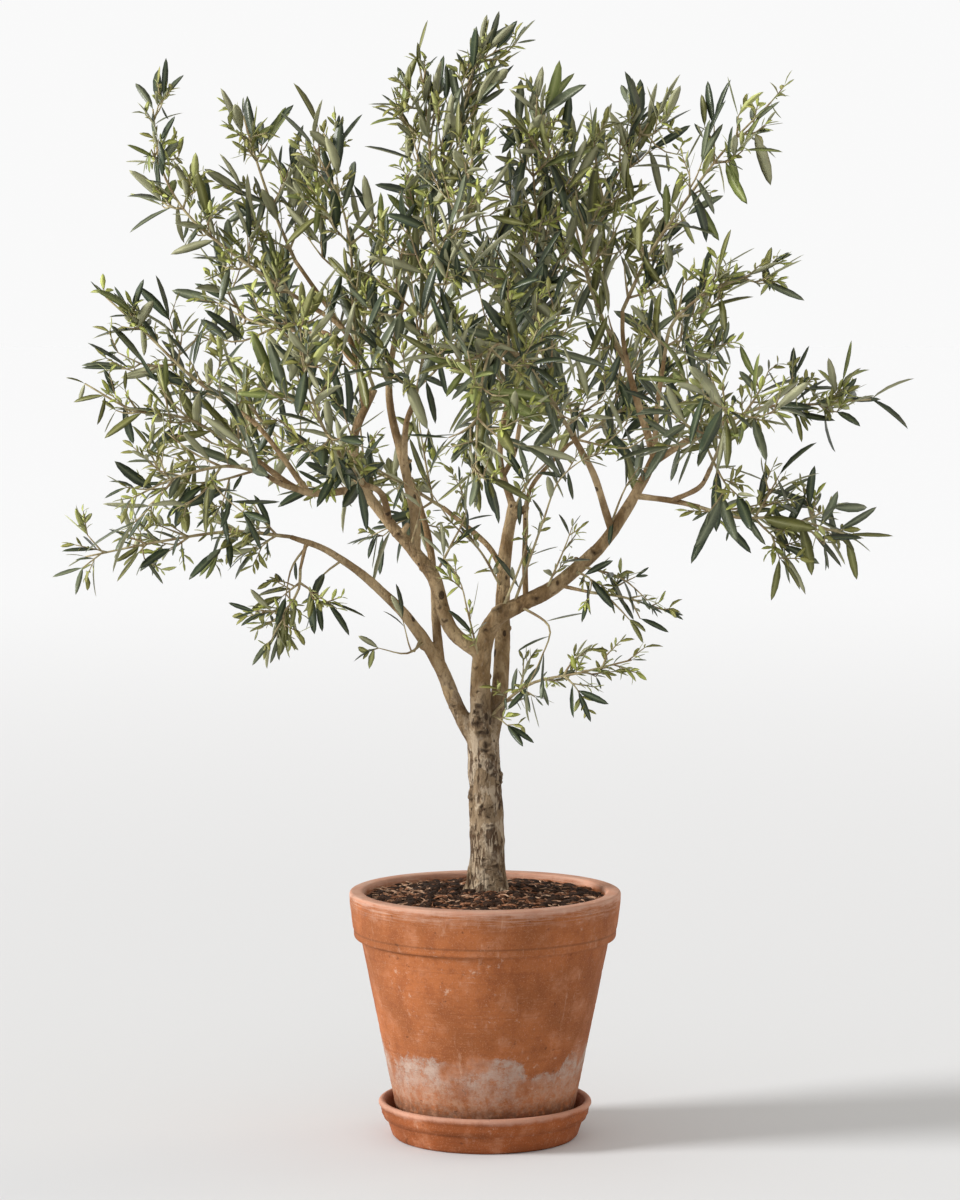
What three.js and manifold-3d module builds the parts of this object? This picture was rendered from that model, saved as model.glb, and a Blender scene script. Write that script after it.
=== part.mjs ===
// A young olive tree in a rolled-rim terracotta pot, standing in the pot's saucer.
// Millimetres, +Z up. The origin is the middle of the saucer's flat underside, on the pot's own axis.
// -Y is the front. The trunk forks low into three limbs, which carry an open, wide crown.
import * as THREE from "three";
import { mergeVertices } from "three/addons/utils/BufferGeometryUtils.js";
import Module from "manifold-3d";

const wasm = await Module();
wasm.setup();

// ---- Driving dimensions -------------------------------------------------------------------------

const GAP = 0.3; // air left between two solids that touch

const SAUCER = { footRadius: 110, rimRadius: 126, height: 44, floor: 10, wall: 8.5, bandHeight: 21 };

const POT = {
  footZ: SAUCER.floor + GAP,
  footRadius: 102,
  neckRadius: 146.5, // where the body meets the underside of the rim band
  neckZ: 236,
  rimRadius: 160,
  rimZ: 291.5,
  bandDrop: 5, // how much the band narrows from its top to its lower edge
  lipRound: 6,
  wall: 12,
  rimWall: 17,
  floor: 14,
};

const SOIL = { edgeBelowRim: 10, crownZ: 290.5, crownRadius: 40 };
const TURNED_SIDES = 32;
const RING_STEP = 48; // between the rings of a limb

const TRUNK = {
  baseRadius: 21.5,
  topRadius: 18.5,
  flare: 8, // how far the root flare stands out at the soil
  flareHeight: 26,
  buttresses: 5,
  crotch: 60, // length of each limb's root that belongs to the trunk's fork
  sides: 16,
  knots: [[3, 5, SOIL.crownZ - 8], [3, 3, 350], [-1, 0, 430], [-4, 0, 492]],
};

// Each limb leaves its parent at a share of the parent's length and runs through its knots to its tip.
// radius is [at the root, at the tip]. A limb of the trunk starts inside the fork.
const LIMBS = [
  { name: "limb_right", from: "trunk", radius: [12.8, 5.6],
    knots: [[-5, -4, 470], [-4, -7, 560], [9, -9, 609], [76, -14, 648], [136, -18, 701], [180, -14, 768],
      [200, -10, 808]] },
  { name: "limb_left", from: "trunk", radius: [10.4, 3],
    knots: [[-8, 0, 462], [-33, 2, 508], [-54, 5, 558], [-105, -6, 630], [-180, -24, 692],
      [-226, -40, 711]] },
  { name: "limb_back", from: "trunk", radius: [10.8, 7],
    knots: [[6, 2, 470], [18, 14, 535], [21, 34, 612], [24, 52, 690], [35, 62, 746]] },

  { name: "bough_left", from: "limb_right", at: 0.24, radius: [9.6, 4.4],
    knots: [[-38, -9, 598], [-62, -10, 664], [-111, -11, 724], [-148, -18, 779], [-152, -28, 825],
      [-128, -40, 882]] },
  { name: "bough_leader", from: "bough_left", at: 0.4, radius: [6.8, 3],
    knots: [[-82, -2, 732], [-98, 0, 805], [-112, 0, 880], [-96, 0, 985]] },
  { name: "bough_left_drop", from: "limb_left", at: 0.94, radius: [2.4, 1.8],
    knots: [[-214, -48, 674]] },
  { name: "bough_left_out", from: "bough_left", at: 0.66, radius: [4.8, 3],
    knots: [[-208, -70, 765], [-268, -90, 807]] },
  { name: "bough_left_front", from: "bough_left_out", at: 0.55, radius: [3.4, 2.5],
    knots: [[-232, -110, 775], [-250, -150, 790]] },
  { name: "bough_left_shoulder", from: "bough_left_out", at: 0.5, radius: [3.4, 2.4],
    knots: [[-262, -40, 838], [-300, -30, 866]] },
  { name: "bough_left_upper", from: "bough_left", at: 0.93, radius: [3.8, 2.6],
    knots: [[-160, -40, 946], [-214, -30, 985]] },
  { name: "bough_left_top", from: "bough_left_upper", at: 0.6, radius: [2.9, 2.3],
    knots: [[-200, 0, 1000], [-222, 24, 1030]] },
  { name: "bough_top_left", from: "bough_leader", at: 0.9, radius: [2.7, 2.2],
    knots: [[-102, 24, 1010], [-90, 26, 1066]] },
  { name: "bough_front_left", from: "bough_left", at: 0.52, radius: [4.4, 3.2],
    knots: [[-120, -55, 762], [-140, -90, 775]] },
  { name: "bough_front_upper", from: "bough_leader", at: 0.33, radius: [4, 3],
    knots: [[-92, -30, 838], [-80, -66, 872]] },
  { name: "bough_front", from: "limb_right", at: 0.75, radius: [4.8, 3.2],
    knots: [[125, -60, 784], [100, -90, 830]] },

  { name: "bough_right_upper", from: "limb_right", at: 0.985, radius: [5, 3.3],
    knots: [[180, 10, 859], [163, 28, 920]] },
  { name: "bough_right_crest", from: "bough_right_upper", at: 0.85, radius: [3.2, 2.4],
    knots: [[161, 14, 940], [160, 6, 972]] },
  { name: "bough_right_mid", from: "limb_right", at: 0.985, radius: [3.4, 2.4],
    knots: [[199, -32, 859], [206, -46, 915]] },
  { name: "bough_right_out", from: "limb_right", at: 0.965, radius: [4.6, 3],
    knots: [[249, -12, 829], [286, -20, 846]] },
  { name: "bough_right_low", from: "limb_right", at: 0.865, radius: [4, 3],
    knots: [[217, -50, 753], [246, -66, 747]] },
  { name: "bough_right_twig", from: "limb_right", at: 0.538, radius: [2.4, 1.8],
    knots: [[122, -48, 647]] },
  { name: "bough_front_right", from: "bough_right_low", at: 0.6, radius: [3.2, 2.6],
    knots: [[244, -110, 772], [254, -155, 796]] },

  { name: "bough_back_up", from: "limb_back", at: 0.97, radius: [4.4, 2.8],
    knots: [[18, 90, 795], [26, 135, 860]] },
  { name: "bough_inner", from: "bough_back_up", at: 0.3, radius: [3.3, 2.6],
    knots: [[34, 90, 800], [42, 88, 840]] },
  { name: "bough_back_left", from: "limb_back", at: 0.7, radius: [3.8, 2.8],
    knots: [[6, 50, 691], [-12, 58, 708], [-50, 82, 738]] },
  { name: "bough_back_right", from: "limb_right", at: 0.44, radius: [3.4, 2.4],
    knots: [[47, 20, 697], [54, 80, 760], [100, 140, 810]] },
  { name: "bough_upper_back", from: "bough_right_upper", at: 0.9, radius: [2.8, 2.3],
    knots: [[140, 80, 960], [130, 110, 990]] },
  { name: "bough_left_back", from: "bough_left_upper", at: 0.3, radius: [3, 2.4],
    knots: [[-185, 30, 945], [-205, 75, 945]] },
];

// Each mass of foliage grows round one stem, which carries on from its bough's tip through its knots.
// spread is how far its longest side shoots stand out from the stem.
const MASSES = [
  { name: "foliage_top", on: "bough_leader", spread: 125,
    knots: [[-70, 0, 1076], [-48, 0, 1139], [-24, -4, 1208], [-4, -6, 1272]] },
  { name: "foliage_top_left", on: "bough_top_left", spread: 105,
    knots: [[-66, 20, 1130], [-68, 14, 1200], [-78, 10, 1268]] },
  { name: "foliage_left_inner", on: "bough_left", spread: 130,
    knots: [[-150, -52, 945], [-152, -62, 1015], [-162, -66, 1085], [-196, -66, 1160]] },
  { name: "foliage_left_upper", on: "bough_left_upper", spread: 100,
    knots: [[-285, -20, 1033], [-346, -14, 1085], [-376, -6, 1140], [-385, 0, 1205]] },
  { name: "foliage_left_top", on: "bough_left_top", spread: 112,
    knots: [[-246, 44, 1084], [-266, 54, 1140], [-284, 58, 1200]] },
  { name: "foliage_left_shoulder", on: "bough_left_shoulder", spread: 120,
    knots: [[-345, -25, 900], [-392, -20, 945], [-440, -14, 988]] },
  { name: "foliage_left_out", on: "bough_left_out", spread: 130,
    knots: [[-340, -106, 850], [-400, -112, 860], [-455, -112, 890]] },
  { name: "foliage_left_front", on: "bough_left_front", spread: 150,
    knots: [[-290, -195, 800], [-345, -225, 788], [-392, -236, 766]] },
  { name: "foliage_left_low", on: "limb_left", spread: 90,
    knots: [[-290, -56, 718], [-370, -66, 708], [-460, -72, 690]] },
  { name: "foliage_left_drop", on: "bough_left_drop", spread: 84,
    knots: [[-216, -54, 650], [-236, -60, 622], [-262, -64, 606]] },
  { name: "foliage_front_left", on: "bough_front_left", spread: 150,
    knots: [[-165, -150, 812], [-184, -205, 852], [-198, -250, 905], [-208, -285, 965]] },
  { name: "foliage_front_upper", on: "bough_front_upper", spread: 150,
    knots: [[-70, -115, 925], [-64, -155, 990], [-42, -188, 1060], [-14, -205, 1140]] },
  { name: "foliage_front", on: "bough_front", spread: 145,
    knots: [[70, -125, 880], [38, -170, 922], [10, -220, 935], [-4, -260, 895], [-10, -286, 825],
      [-10, -294, 775]] },
  { name: "foliage_front_right", on: "bough_front_right", spread: 150,
    knots: [[262, -210, 828], [264, -255, 858], [258, -290, 895]] },
  { name: "foliage_right_inner", on: "bough_right_upper", spread: 145,
    knots: [[134, 46, 972], [116, 50, 1045], [152, 36, 1125], [190, 24, 1190]] },
  { name: "foliage_right_crest", on: "bough_right_crest", spread: 100,
    knots: [[187, 2, 1030], [226, -4, 1090], [276, -8, 1156], [330, -10, 1212]] },
  { name: "foliage_right_mid", on: "bough_right_mid", spread: 95,
    knots: [[214, -52, 955], [250, -60, 990], [300, -66, 1012], [328, -70, 1026]] },
  { name: "foliage_right_out", on: "bough_right_out", spread: 95,
    knots: [[320, -24, 860], [380, -30, 864], [446, -36, 870]] },
  { name: "foliage_right_low", on: "bough_right_low", spread: 125,
    knots: [[290, -86, 736], [345, -98, 736], [412, -108, 718]] },
  { name: "foliage_right_twig", on: "bough_right_twig", spread: 68,
    knots: [[160, -56, 642], [205, -60, 628]] },
  { name: "foliage_low_right", on: "trunk", spread: 60,
    knots: [[50, -18, 536], [110, -34, 552], [170, -44, 568]] },
  { name: "foliage_centre", on: "bough_inner", spread: 150,
    knots: [[52, 70, 890], [60, 40, 970], [60, 12, 1070], [54, -8, 1150], [50, -12, 1200]] },
  { name: "foliage_back", on: "bough_back_up", spread: 160,
    knots: [[34, 190, 920], [42, 240, 985], [46, 280, 1040]] },
  { name: "foliage_back_left", on: "bough_back_left", spread: 160,
    knots: [[-110, 120, 770], [-185, 170, 790], [-250, 215, 815], [-285, 235, 850]] },
  { name: "foliage_back_right", on: "bough_back_right", spread: 160,
    knots: [[160, 200, 846], [215, 240, 880], [260, 262, 920]] },
  { name: "foliage_upper_back", on: "bough_upper_back", spread: 150,
    knots: [[116, 145, 1040], [104, 180, 1100], [98, 205, 1150]] },
  { name: "foliage_left_back", on: "bough_left_back", spread: 150,
    knots: [[-245, 120, 950], [-285, 165, 960], [-325, 205, 980]] },
];

// The foliage rule. Olive twigs and leaves come in opposite pairs, each pair a quarter turn on from
// the last. A leaf here stands for a spray of real ones, so it is longer and broader than one.
const GROWTH = {
  stemRadius: [1.8, 1.2],
  stemRings: 55, // between the rings of a stem
  twigRadius: [1.6, 1],
  firstTwigs: 26, // from the stem's root to its first pair of twigs
  twigStep: 78, // between pairs of twigs
  fullSpread: 100, // a mass that spreads less has its twigs closer together
  twigAngle: 56, // degrees off the stem
  lift: [-0.3, 0.55], // how strongly twigs turn up to the light: low ones hang, high ones stand
  liftFrom: 690, // the height where twigs neither hang nor stand, and how far above it they stand
  liftOver: 450,
  taper: 0.6, // how much of their length the twigs lose towards the stem's tip
  tipLeaves: 0.5, // length of the leaves there, as a share of the longest
  firstLeaves: 22,
  leafStep: 58,
  leafAngle: 46,
  leafLength: 128, // the longest; a small mass has leaves of leafShare of its spread
  leafShare: 0.82,
  leafWidth: 0.35, // as shares of the leaf's length
  leafThickness: 0.05,
  leafSunk: 1.2, // how far a leaf's root runs past its twig's centre line
  tries: 8, // how many directions a leaf or a twig may try before it is left out
  leafRoom: 25, // from the middle line of one leaf to that of another
  quarterTurn: 90,
  wander: 14, // degrees of seeded scatter in every angle
  clearOfLimbs: 2,
  clearOfMasses: 3,
};

const COLOURS = {
  terracotta: { color: 0xb0683f, roughness: 0.85 },
  soil: { color: 0x3b271c, roughness: 0.95 },
  bark: { color: 0x9c8770, roughness: 0.85 },
  foliage: { color: 0x5b6a3f, roughness: 0.6 },
};

// ---- Small helpers ------------------------------------------------------------------------------

const UP = new THREE.Vector3(0, 0, 1);
const radians = THREE.MathUtils.degToRad;
const mix = THREE.MathUtils.lerp;
const point = ([x, y, z]) => new THREE.Vector3(x, y, z);

// A repeatable stream of numbers from 0 to 1.
function seeded(seed) {
  let state = seed >>> 0;
  return () => {
    state = (state + 0x6d2b79f5) >>> 0;
    let t = Math.imul(state ^ (state >>> 15), state | 1);
    t ^= t + Math.imul(t ^ (t >>> 7), t | 61);
    return ((t ^ (t >>> 14)) >>> 0) / 2 ** 32;
  };
}

// A closed three.js geometry as a solid that can be cut and joined. Faces with no area are dropped.
function solidOf(geometry) {
  const bare = new THREE.BufferGeometry();
  bare.setAttribute("position", geometry.getAttribute("position"));
  bare.setIndex(geometry.index);
  const merged = mergeVertices(bare, 1e-4);
  const corners = [];
  for (let i = 0; i < merged.index.count; i += 3) {
    const [a, b, c] = [0, 1, 2].map((k) => merged.index.getX(i + k));
    if (a !== b && b !== c && c !== a) corners.push(a, b, c);
  }
  return new wasm.Manifold(
    new wasm.Mesh({
      numProp: 3,
      vertProperties: merged.attributes.position.array,
      triVerts: new Uint32Array(corners),
    }),
  );
}

function geometryOf(solid) {
  const { vertProperties, triVerts } = solid.getMesh();
  const geometry = new THREE.BufferGeometry();
  geometry.setAttribute("position", new THREE.BufferAttribute(vertProperties, 3));
  geometry.setIndex(new THREE.BufferAttribute(triVerts, 1));
  geometry.computeVertexNormals();
  return geometry;
}

// The largest piece of a solid: what is left of it once loose scraps are dropped.
function largest(solid) {
  return solid.decompose().reduce((a, b) => (b.volume() > a.volume() ? b : a));
}

// A curve measured by its knots and not by its length, so that each ring of a rod sits on a knot.
class KnotCurve extends THREE.CatmullRomCurve3 {
  getPointAt(t) { return this.getPoint(t); }
  getTangentAt(t) { return this.getTangent(t); }
}

// A rod of cylinder geometry bent through a list of points, with one ring square to the run at each.
// sizeAt(ring, angle) is the ring's size there: [across, through], or one number where it is round.
// roll turns the whole section about the rod's own length.
function rod(points, sizeAt, sides, roll = 0) {
  const steps = points.length - 1;
  const rings = new THREE.CylinderGeometry(1, 1, 1, sides, steps);
  const frames = new KnotCurve(points).computeFrenetFrames(steps, false);
  const position = rings.getAttribute("position");
  for (let i = 0; i < position.count; i++) {
    const [x, y, z] = [position.getX(i), position.getY(i), position.getZ(i)];
    const ring = Math.round((y + 0.5) * steps);
    const size = sizeAt(ring, Math.atan2(z, x));
    const [across, through] = Array.isArray(size) ? size : [size, size];
    const offset = frames.normals[ring].clone().multiplyScalar(x * across)
      .addScaledVector(frames.binormals[ring], -z * through)
      .applyAxisAngle(frames.tangents[ring], roll);
    position.setXYZ(i, ...offset.add(points[ring]).toArray());
  }
  return solidOf(rings);
}

// A profile of [radius, height] points turned round the vertical axis.
function turned(profile) {
  return new THREE.LatheGeometry(profile.map(([r, z]) => new THREE.Vector2(r, z)), TURNED_SIDES)
    .rotateX(Math.PI / 2);
}

// Points of a quarter-round or longer arc in a profile, from one angle to another, in degrees.
function arc(radius, height, size, start, end, count = 3) {
  return Array.from({ length: count }, (_, i) => {
    const angle = radians(mix(start, end, i / (count - 1)));
    return [radius + size * Math.cos(angle), height + size * Math.sin(angle)];
  });
}

// ---- Pot, saucer and soil -----------------------------------------------------------------------

function saucerGeometry() {
  const { footRadius, rimRadius, height, floor, wall, bandHeight } = SAUCER;
  const lip = wall / 2;
  return turned([
    [0, 0],
    [footRadius - 3, 0],
    [footRadius, 3],
    [footRadius + 6, bandHeight - 1],
    [rimRadius - 6.5, bandHeight + 1],
    ...arc(rimRadius - lip, height - lip, lip, -10, 180, 5),
    [footRadius - wall + 2, floor + 4],
    [footRadius - wall - 2, floor],
    [0, floor],
  ]);
}

function potGeometry() {
  const { footZ, footRadius, neckRadius, neckZ, rimRadius, rimZ, bandDrop, lipRound, wall, rimWall, floor } = POT;
  const bandRadius = rimRadius - bandDrop;
  return turned([
    [0, footZ],
    [footRadius - 3, footZ],
    [footRadius, footZ + 4],
    [neckRadius, neckZ],
    [bandRadius - 2.5, neckZ + 6],
    [bandRadius, neckZ + 11],
    ...arc(rimRadius - lipRound, rimZ - lipRound, lipRound, 0, 90, 4),
    ...arc(rimRadius - rimWall + lipRound / 2, rimZ - lipRound / 2, lipRound / 2, 90, 180, 3),
    [innerRadius(neckZ), neckZ],
    [footRadius - wall, footZ + floor],
    [0, footZ + floor],
  ]);
}

// The pot's inner wall: straight from its floor to the neck, and straight from there to the lip.
function innerRadius(z) {
  const { footZ, footRadius, neckRadius, neckZ, rimRadius, rimWall, rimZ, lipRound, wall, floor } = POT;
  const bottom = footZ + floor;
  const lipZ = rimZ - lipRound / 2;
  return z < neckZ
    ? mix(footRadius - wall, neckRadius - wall, (z - bottom) / (neckZ - bottom))
    : mix(neckRadius - wall, rimRadius - rimWall, (z - neckZ) / (lipZ - neckZ));
}

// Soil fills the pot from its floor and rises a little from the rim towards the trunk.
function soilGeometry() {
  const bottom = POT.footZ + POT.floor + GAP;
  const edgeZ = POT.rimZ - SOIL.edgeBelowRim;
  const clear = 2 * GAP; // the faceted wall comes inside its own circle between corners
  return turned([
    [0, bottom],
    [innerRadius(bottom) - clear, bottom],
    [innerRadius(POT.neckZ) - clear, POT.neckZ],
    [innerRadius(edgeZ) - clear, edgeZ],
    [SOIL.crownRadius, SOIL.crownZ],
    [0, SOIL.crownZ],
  ]);
}

// ---- Trunk and limbs ----------------------------------------------------------------------------

const curves = { trunk: new THREE.CatmullRomCurve3(TRUNK.knots.map(point)) };
for (const { name, from, at, knots } of LIMBS) {
  const root = from === "trunk" ? [] : [curves[from].getPointAt(at)];
  curves[name] = new THREE.CatmullRomCurve3([...root, ...knots.map(point)]);
}

// The stretch of a limb between two shares of its length, grown at its sides and tip by a margin.
function limbSolid({ name, radius }, from, to, margin = 0) {
  const curve = curves[name];
  const steps = Math.max(2, Math.round((curve.getLength() * (to - from)) / RING_STEP));
  const shareOf = (ring) => mix(from, to, Math.min(1, ring / steps));
  const points = Array.from({ length: steps + 1 }, (_, ring) => curve.getPointAt(shareOf(ring)));
  if (margin > 0) points.push(points[steps].clone().addScaledVector(
    points[steps].clone().sub(points[steps - 1]).normalize(), margin));
  const sides = radius[0] > 6 ? 8 : radius[0] > 3.5 ? 6 : 5;
  return rod(points, (ring) => mix(radius[0], radius[1], shareOf(ring)) + margin, sides);
}

// The trunk, its lobed root flare, and the crotch: the roots of the limbs that leave it.
function trunkSolid() {
  const { baseRadius, topRadius, flare, flareHeight, buttresses, sides } = TRUNK;
  const shares = [0, 0.07, 0.12, 0.2, 0.37, 0.55, 0.74, 0.88, 1];
  const length = curves.trunk.getLength();
  const sizeAt = (ring, angle) => {
    const spread = flare * Math.exp((-2 * shares[ring] * length) / flareHeight);
    const round = mix(baseRadius, topRadius, Math.min(1, shares[ring] / shares[7]));
    return (ring === 8 ? 0.62 : 1) * round + spread * (0.6 + 0.4 * Math.cos(buttresses * angle));
  };
  const crotch = LIMBS.filter((limb) => limb.from === "trunk")
    .map((limb) => limbSolid(limb, 0, crotchShare(limb)));
  const bole = rod(shares.map((share) => curves.trunk.getPointAt(share)), sizeAt, sides);
  return wasm.Manifold.union([bole, ...crotch]).trimByPlane([0, 0, 1], SOIL.crownZ + GAP);
}

const crotchShare = ({ name }) => TRUNK.crotch / curves[name].getLength();

// Limbs in order, each cut clear of those before it, so that it fits against its parent's side.
// Also returns what a mass of foliage is cut by: every limb and the trunk, grown by the gap.
function limbSolids() {
  const trunk = trunkSolid();
  const made = { trunk };
  const crotches = LIMBS.filter((limb) => limb.from === "trunk");
  const cutters = crotches.map((limb) => limbSolid(limb, 0, crotchShare(limb), GAP));
  for (const limb of LIMBS) {
    const start = limb.from === "trunk" ? 0.9 * crotchShare(limb) : 0;
    made[limb.name] = largest(limbSolid(limb, start, 1).subtract(wasm.Manifold.union(cutters)));
    cutters.push(limbSolid(limb, start, 1, GAP));
  }
  cutters.push(rod(curves.trunk.getSpacedPoints(4), () => TRUNK.baseRadius + 2 * GAP, 12));
  return { made, cutter: wasm.Manifold.union(cutters) };
}

// ---- Foliage ------------------------------------------------------------------------------------

// A bent line: the straight stretches between its points, which a rod through them follows.
class BentLine extends THREE.Curve {
  constructor(points) {
    super();
    this.points = points;
  }

  getPoint(share, target = new THREE.Vector3()) {
    const run = share * (this.points.length - 1);
    const step = Math.min(Math.floor(run), this.points.length - 2);
    return target.lerpVectors(this.points[step], this.points[step + 1], run - step);
  }
}

// The stem starts at its bough's tip, or inside the trunk, and is cut back there to leave the gap.
function stemLine({ on, knots }) {
  const root = curves[on].getPointAt(on === "trunk" ? 0.98 : 1);
  const curve = new THREE.CatmullRomCurve3([root, ...knots.map(point)]);
  return new BentLine(curve.getSpacedPoints(Math.max(2, Math.round(curve.getLength() / GROWTH.stemRings))));
}

const stems = MASSES.map(stemLine);
const stemPoints = stems.map((stem) => stem.getSpacedPoints(12));
const limbPoints = LIMBS.flatMap(({ name, radius }) =>
  curves[name].getSpacedPoints(24).map((place, i) => ({ place, radius: mix(radius[0], radius[1], i / 24) })));

const nearest = (points, p) => Math.min(...points.map((q) => q.distanceTo(p)));

// A point is a mass's own if that mass's stem is the nearest one, with room to spare.
function isOwn(mass, p) {
  const own = nearest(stemPoints[mass], p) + GROWTH.clearOfMasses;
  return stemPoints.every((points, other) => other === mass || nearest(points, p) > own);
}

function clearOfLimbs(p, half) {
  return limbPoints.every(({ place, radius }) => place.distanceTo(p) > radius + half + GROWTH.clearOfLimbs);
}

// A direction turned off an axis by an angle, towards the side at a turn about the axis.
function offAxis(axis, angle, turn) {
  const side = new THREE.Vector3().crossVectors(axis, UP);
  if (side.lengthSq() < 1e-4) side.set(1, 0, 0);
  side.normalize().applyAxisAngle(axis, turn);
  return axis.clone().multiplyScalar(Math.cos(angle)).addScaledVector(side, Math.sin(angle));
}

// The three points and sizes of a leaf: a spindle of three sides, flat above with a keel below.
function leafKnots(root, direction, length) {
  return [0, 0.5, 1].map((share) => root.clone().addScaledVector(direction, length * share));
}

// Across and through the middle of a leaf, whose three corners stand at 120 degrees.
const leafSize = (length) => [(length * GROWTH.leafWidth) / Math.sqrt(3), (length * GROWTH.leafThickness) / 1.5];

function leafSolid(root, direction, length, roll, margin = 0) {
  const points = leafKnots(root.clone().addScaledVector(direction, -GROWTH.leafSunk), direction, length);
  return rod(points, (ring) => (ring === 1 ? grown(leafSize(length), margin) : margin), 3, roll);
}

// A shoot: a stem or twig through its points, ending in a leaf of its own.
function shootSolid(points, radius, direction, length, roll, margin = 0) {
  const last = points.length - 1;
  const sizeAt = (ring) => {
    if (ring <= last) return mix(radius[0], radius[1], ring / last) + margin;
    return ring === last + 1 ? grown(leafSize(length), margin) : margin;
  };
  return rod([...points, ...leafKnots(points[last], direction, length).slice(1)], sizeAt, 3, roll);
}

const grown = (size, margin) => size.map((half) => half + 2 * margin);

// How near a small mass comes to a full one: its twigs and leaves stand closer together.
const fullness = (mass) => Math.min(1, MASSES[mass].spread / GROWTH.fullSpread);

// A leaf's line fits where it is in its mass's own space, clear of every limb and of the lines so far.
function leafFits(mass, root, direction, length, placed) {
  const line = [0.3, 0.5, 0.75, 1].map((share) => root.clone().addScaledVector(direction, length * share));
  const fits = line.every((p) => isOwn(mass, p) && clearOfLimbs(p, length * GROWTH.leafWidth / 2))
    && placed.every((other) => line.every((p) => nearest(other, p) > GROWTH.leafRoom * fullness(mass)));
  if (fits) placed.push(line);
  return fits;
}

// Tries a growth in a direction near the one asked for, straying further each time, until it takes.
function tryGrowing(axis, angle, turn, random, grow) {
  for (let attempt = 0; attempt < GROWTH.tries; attempt++) {
    const astray = () => radians(GROWTH.wander) * (1 + attempt / 2) * (random() - 0.5);
    if (grow(offAxis(axis, radians(angle) + astray(), turn + astray()))) return;
  }
}

// Every leaf that fits along a twig, in opposite pairs a quarter turn apart.
function leavesAlong(mass, twig, lengthAt, random, placed) {
  const { firstLeaves, leafStep, leafAngle, quarterTurn } = GROWTH;
  const leaves = [];
  let turn = random() * 4;
  for (let along = firstLeaves; along < twig.getLength() - leafStep / 3; along += leafStep) {
    const share = along / twig.getLength();
    const root = twig.getPointAt(share);
    turn += radians(quarterTurn);
    for (const side of [0, Math.PI])
      tryGrowing(twig.getTangentAt(share), leafAngle, turn + side, random, (direction) => {
        const leaf = [root, direction, lengthAt(share) * mix(0.82, 1, random()), random() * 3];
        if (!leafFits(mass, ...leaf.slice(0, 3), placed) || !isFree(leafSolid(...leaf, GAP))) return false;
        return leaves.push(leafSolid(...leaf));
      });
  }
  return leaves;
}

// Whether a solid keeps clear of the masses finished so far.
const finished = [];
const isFree = (solid) => finished.every((other) => other.intersect(solid).isEmpty());

// A side twig leaves the stem at an angle, then stands up or hangs by its height on the tree.
function twigLine(root, direction, length) {
  const { lift, liftFrom, liftOver } = GROWTH;
  const rise = THREE.MathUtils.clamp((root.z - liftFrom) / liftOver, ...lift);
  const elbow = root.clone().addScaledVector(direction, length / 2);
  const onward = direction.clone().addScaledVector(UP, rise).normalize();
  const tip = elbow.clone().addScaledVector(onward, length / 2);
  return new BentLine([root, elbow, tip]);
}

function massSolid({ spread }, mass, cutter) {
  const { stemRadius, twigRadius, firstTwigs, twigStep, twigAngle, quarterTurn } = GROWTH;
  const random = seeded(mass * 7919 + 11);
  const leafLength = Math.min(GROWTH.leafLength, spread * GROWTH.leafShare);
  const stem = stems[mass];
  const length = stem.getLength();
  const placed = [];
  const pieces = [];
  const leafLengthAt = (share) => leafLength * mix(1, GROWTH.tipLeaves, share ** 4);
  const grow = (line, radius, share) => {
    const direction = line.getTangentAt(1);
    const fits = leafFits(mass, line.getPointAt(1), direction, leafLengthAt(share), placed);
    const shoot = [line.points, radius, direction, leafLengthAt(share), random() * 3];
    if (line !== stem && !(fits && isFree(shootSolid(...shoot, GAP)))) return false;
    pieces.push(shootSolid(...shoot));
    const lengthAt = line === stem ? leafLengthAt : () => leafLengthAt(share);
    return pieces.push(...leavesAlong(mass, line, lengthAt, random, placed));
  };
  grow(stem, stemRadius, 1);
  let turn = random() * 4;
  for (let along = firstTwigs; along < length; along += twigStep * fullness(mass)) {
    const share = along / length;
    turn += radians(quarterTurn);
    for (const side of [0, Math.PI])
      tryGrowing(stem.getTangentAt(share), twigAngle, turn + side, random, (direction) => {
        const reach = spread * (1 - GROWTH.taper * share ** 2) * mix(0.85, 1, random());
        const twigLength = Math.max(12, reach - leafLengthAt(share) * 0.7);
        const twig = twigLine(stem.getPointAt(share), direction, twigLength);
        const fits = twig.points.slice(1).every((p) => isOwn(mass, p) && clearOfLimbs(p, 2));
        return fits && grow(twig, twigRadius, share);
      });
  }
  const solid = largest(wasm.Manifold.union(pieces).subtract(cutter).simplify(0.05));
  finished.push(solid);
  return solid;
}

// ---- The whole plant ----------------------------------------------------------------------------

const plant = new THREE.Group();
plant.name = "potted_olive_tree";

function add(name, geometry, look) {
  const mesh = new THREE.Mesh(geometry, new THREE.MeshStandardMaterial({ ...COLOURS[look], metalness: 0 }));
  mesh.name = name;
  plant.add(mesh);
}

add("saucer", saucerGeometry(), "terracotta");
add("pot", potGeometry(), "terracotta");
add("soil", soilGeometry(), "soil");

const { made, cutter } = limbSolids();
for (const [name, solid] of Object.entries(made)) add(name, geometryOf(solid), "bark");
MASSES.forEach((mass, i) => add(mass.name, geometryOf(massSolid(mass, i, cutter)), "foliage"));

export default plant;
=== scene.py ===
"""A young olive tree in a rolled-rim terracotta pot, standing in the pot's saucer.

Metres, +Z up, -Y the front. The trunk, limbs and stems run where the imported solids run. The
foliage grows from the same stems by the same rule, with real-sized leaves.
"""

import math
import random

import bmesh
import bpy
import numpy as np
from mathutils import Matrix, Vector, kdtree, noise


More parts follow.
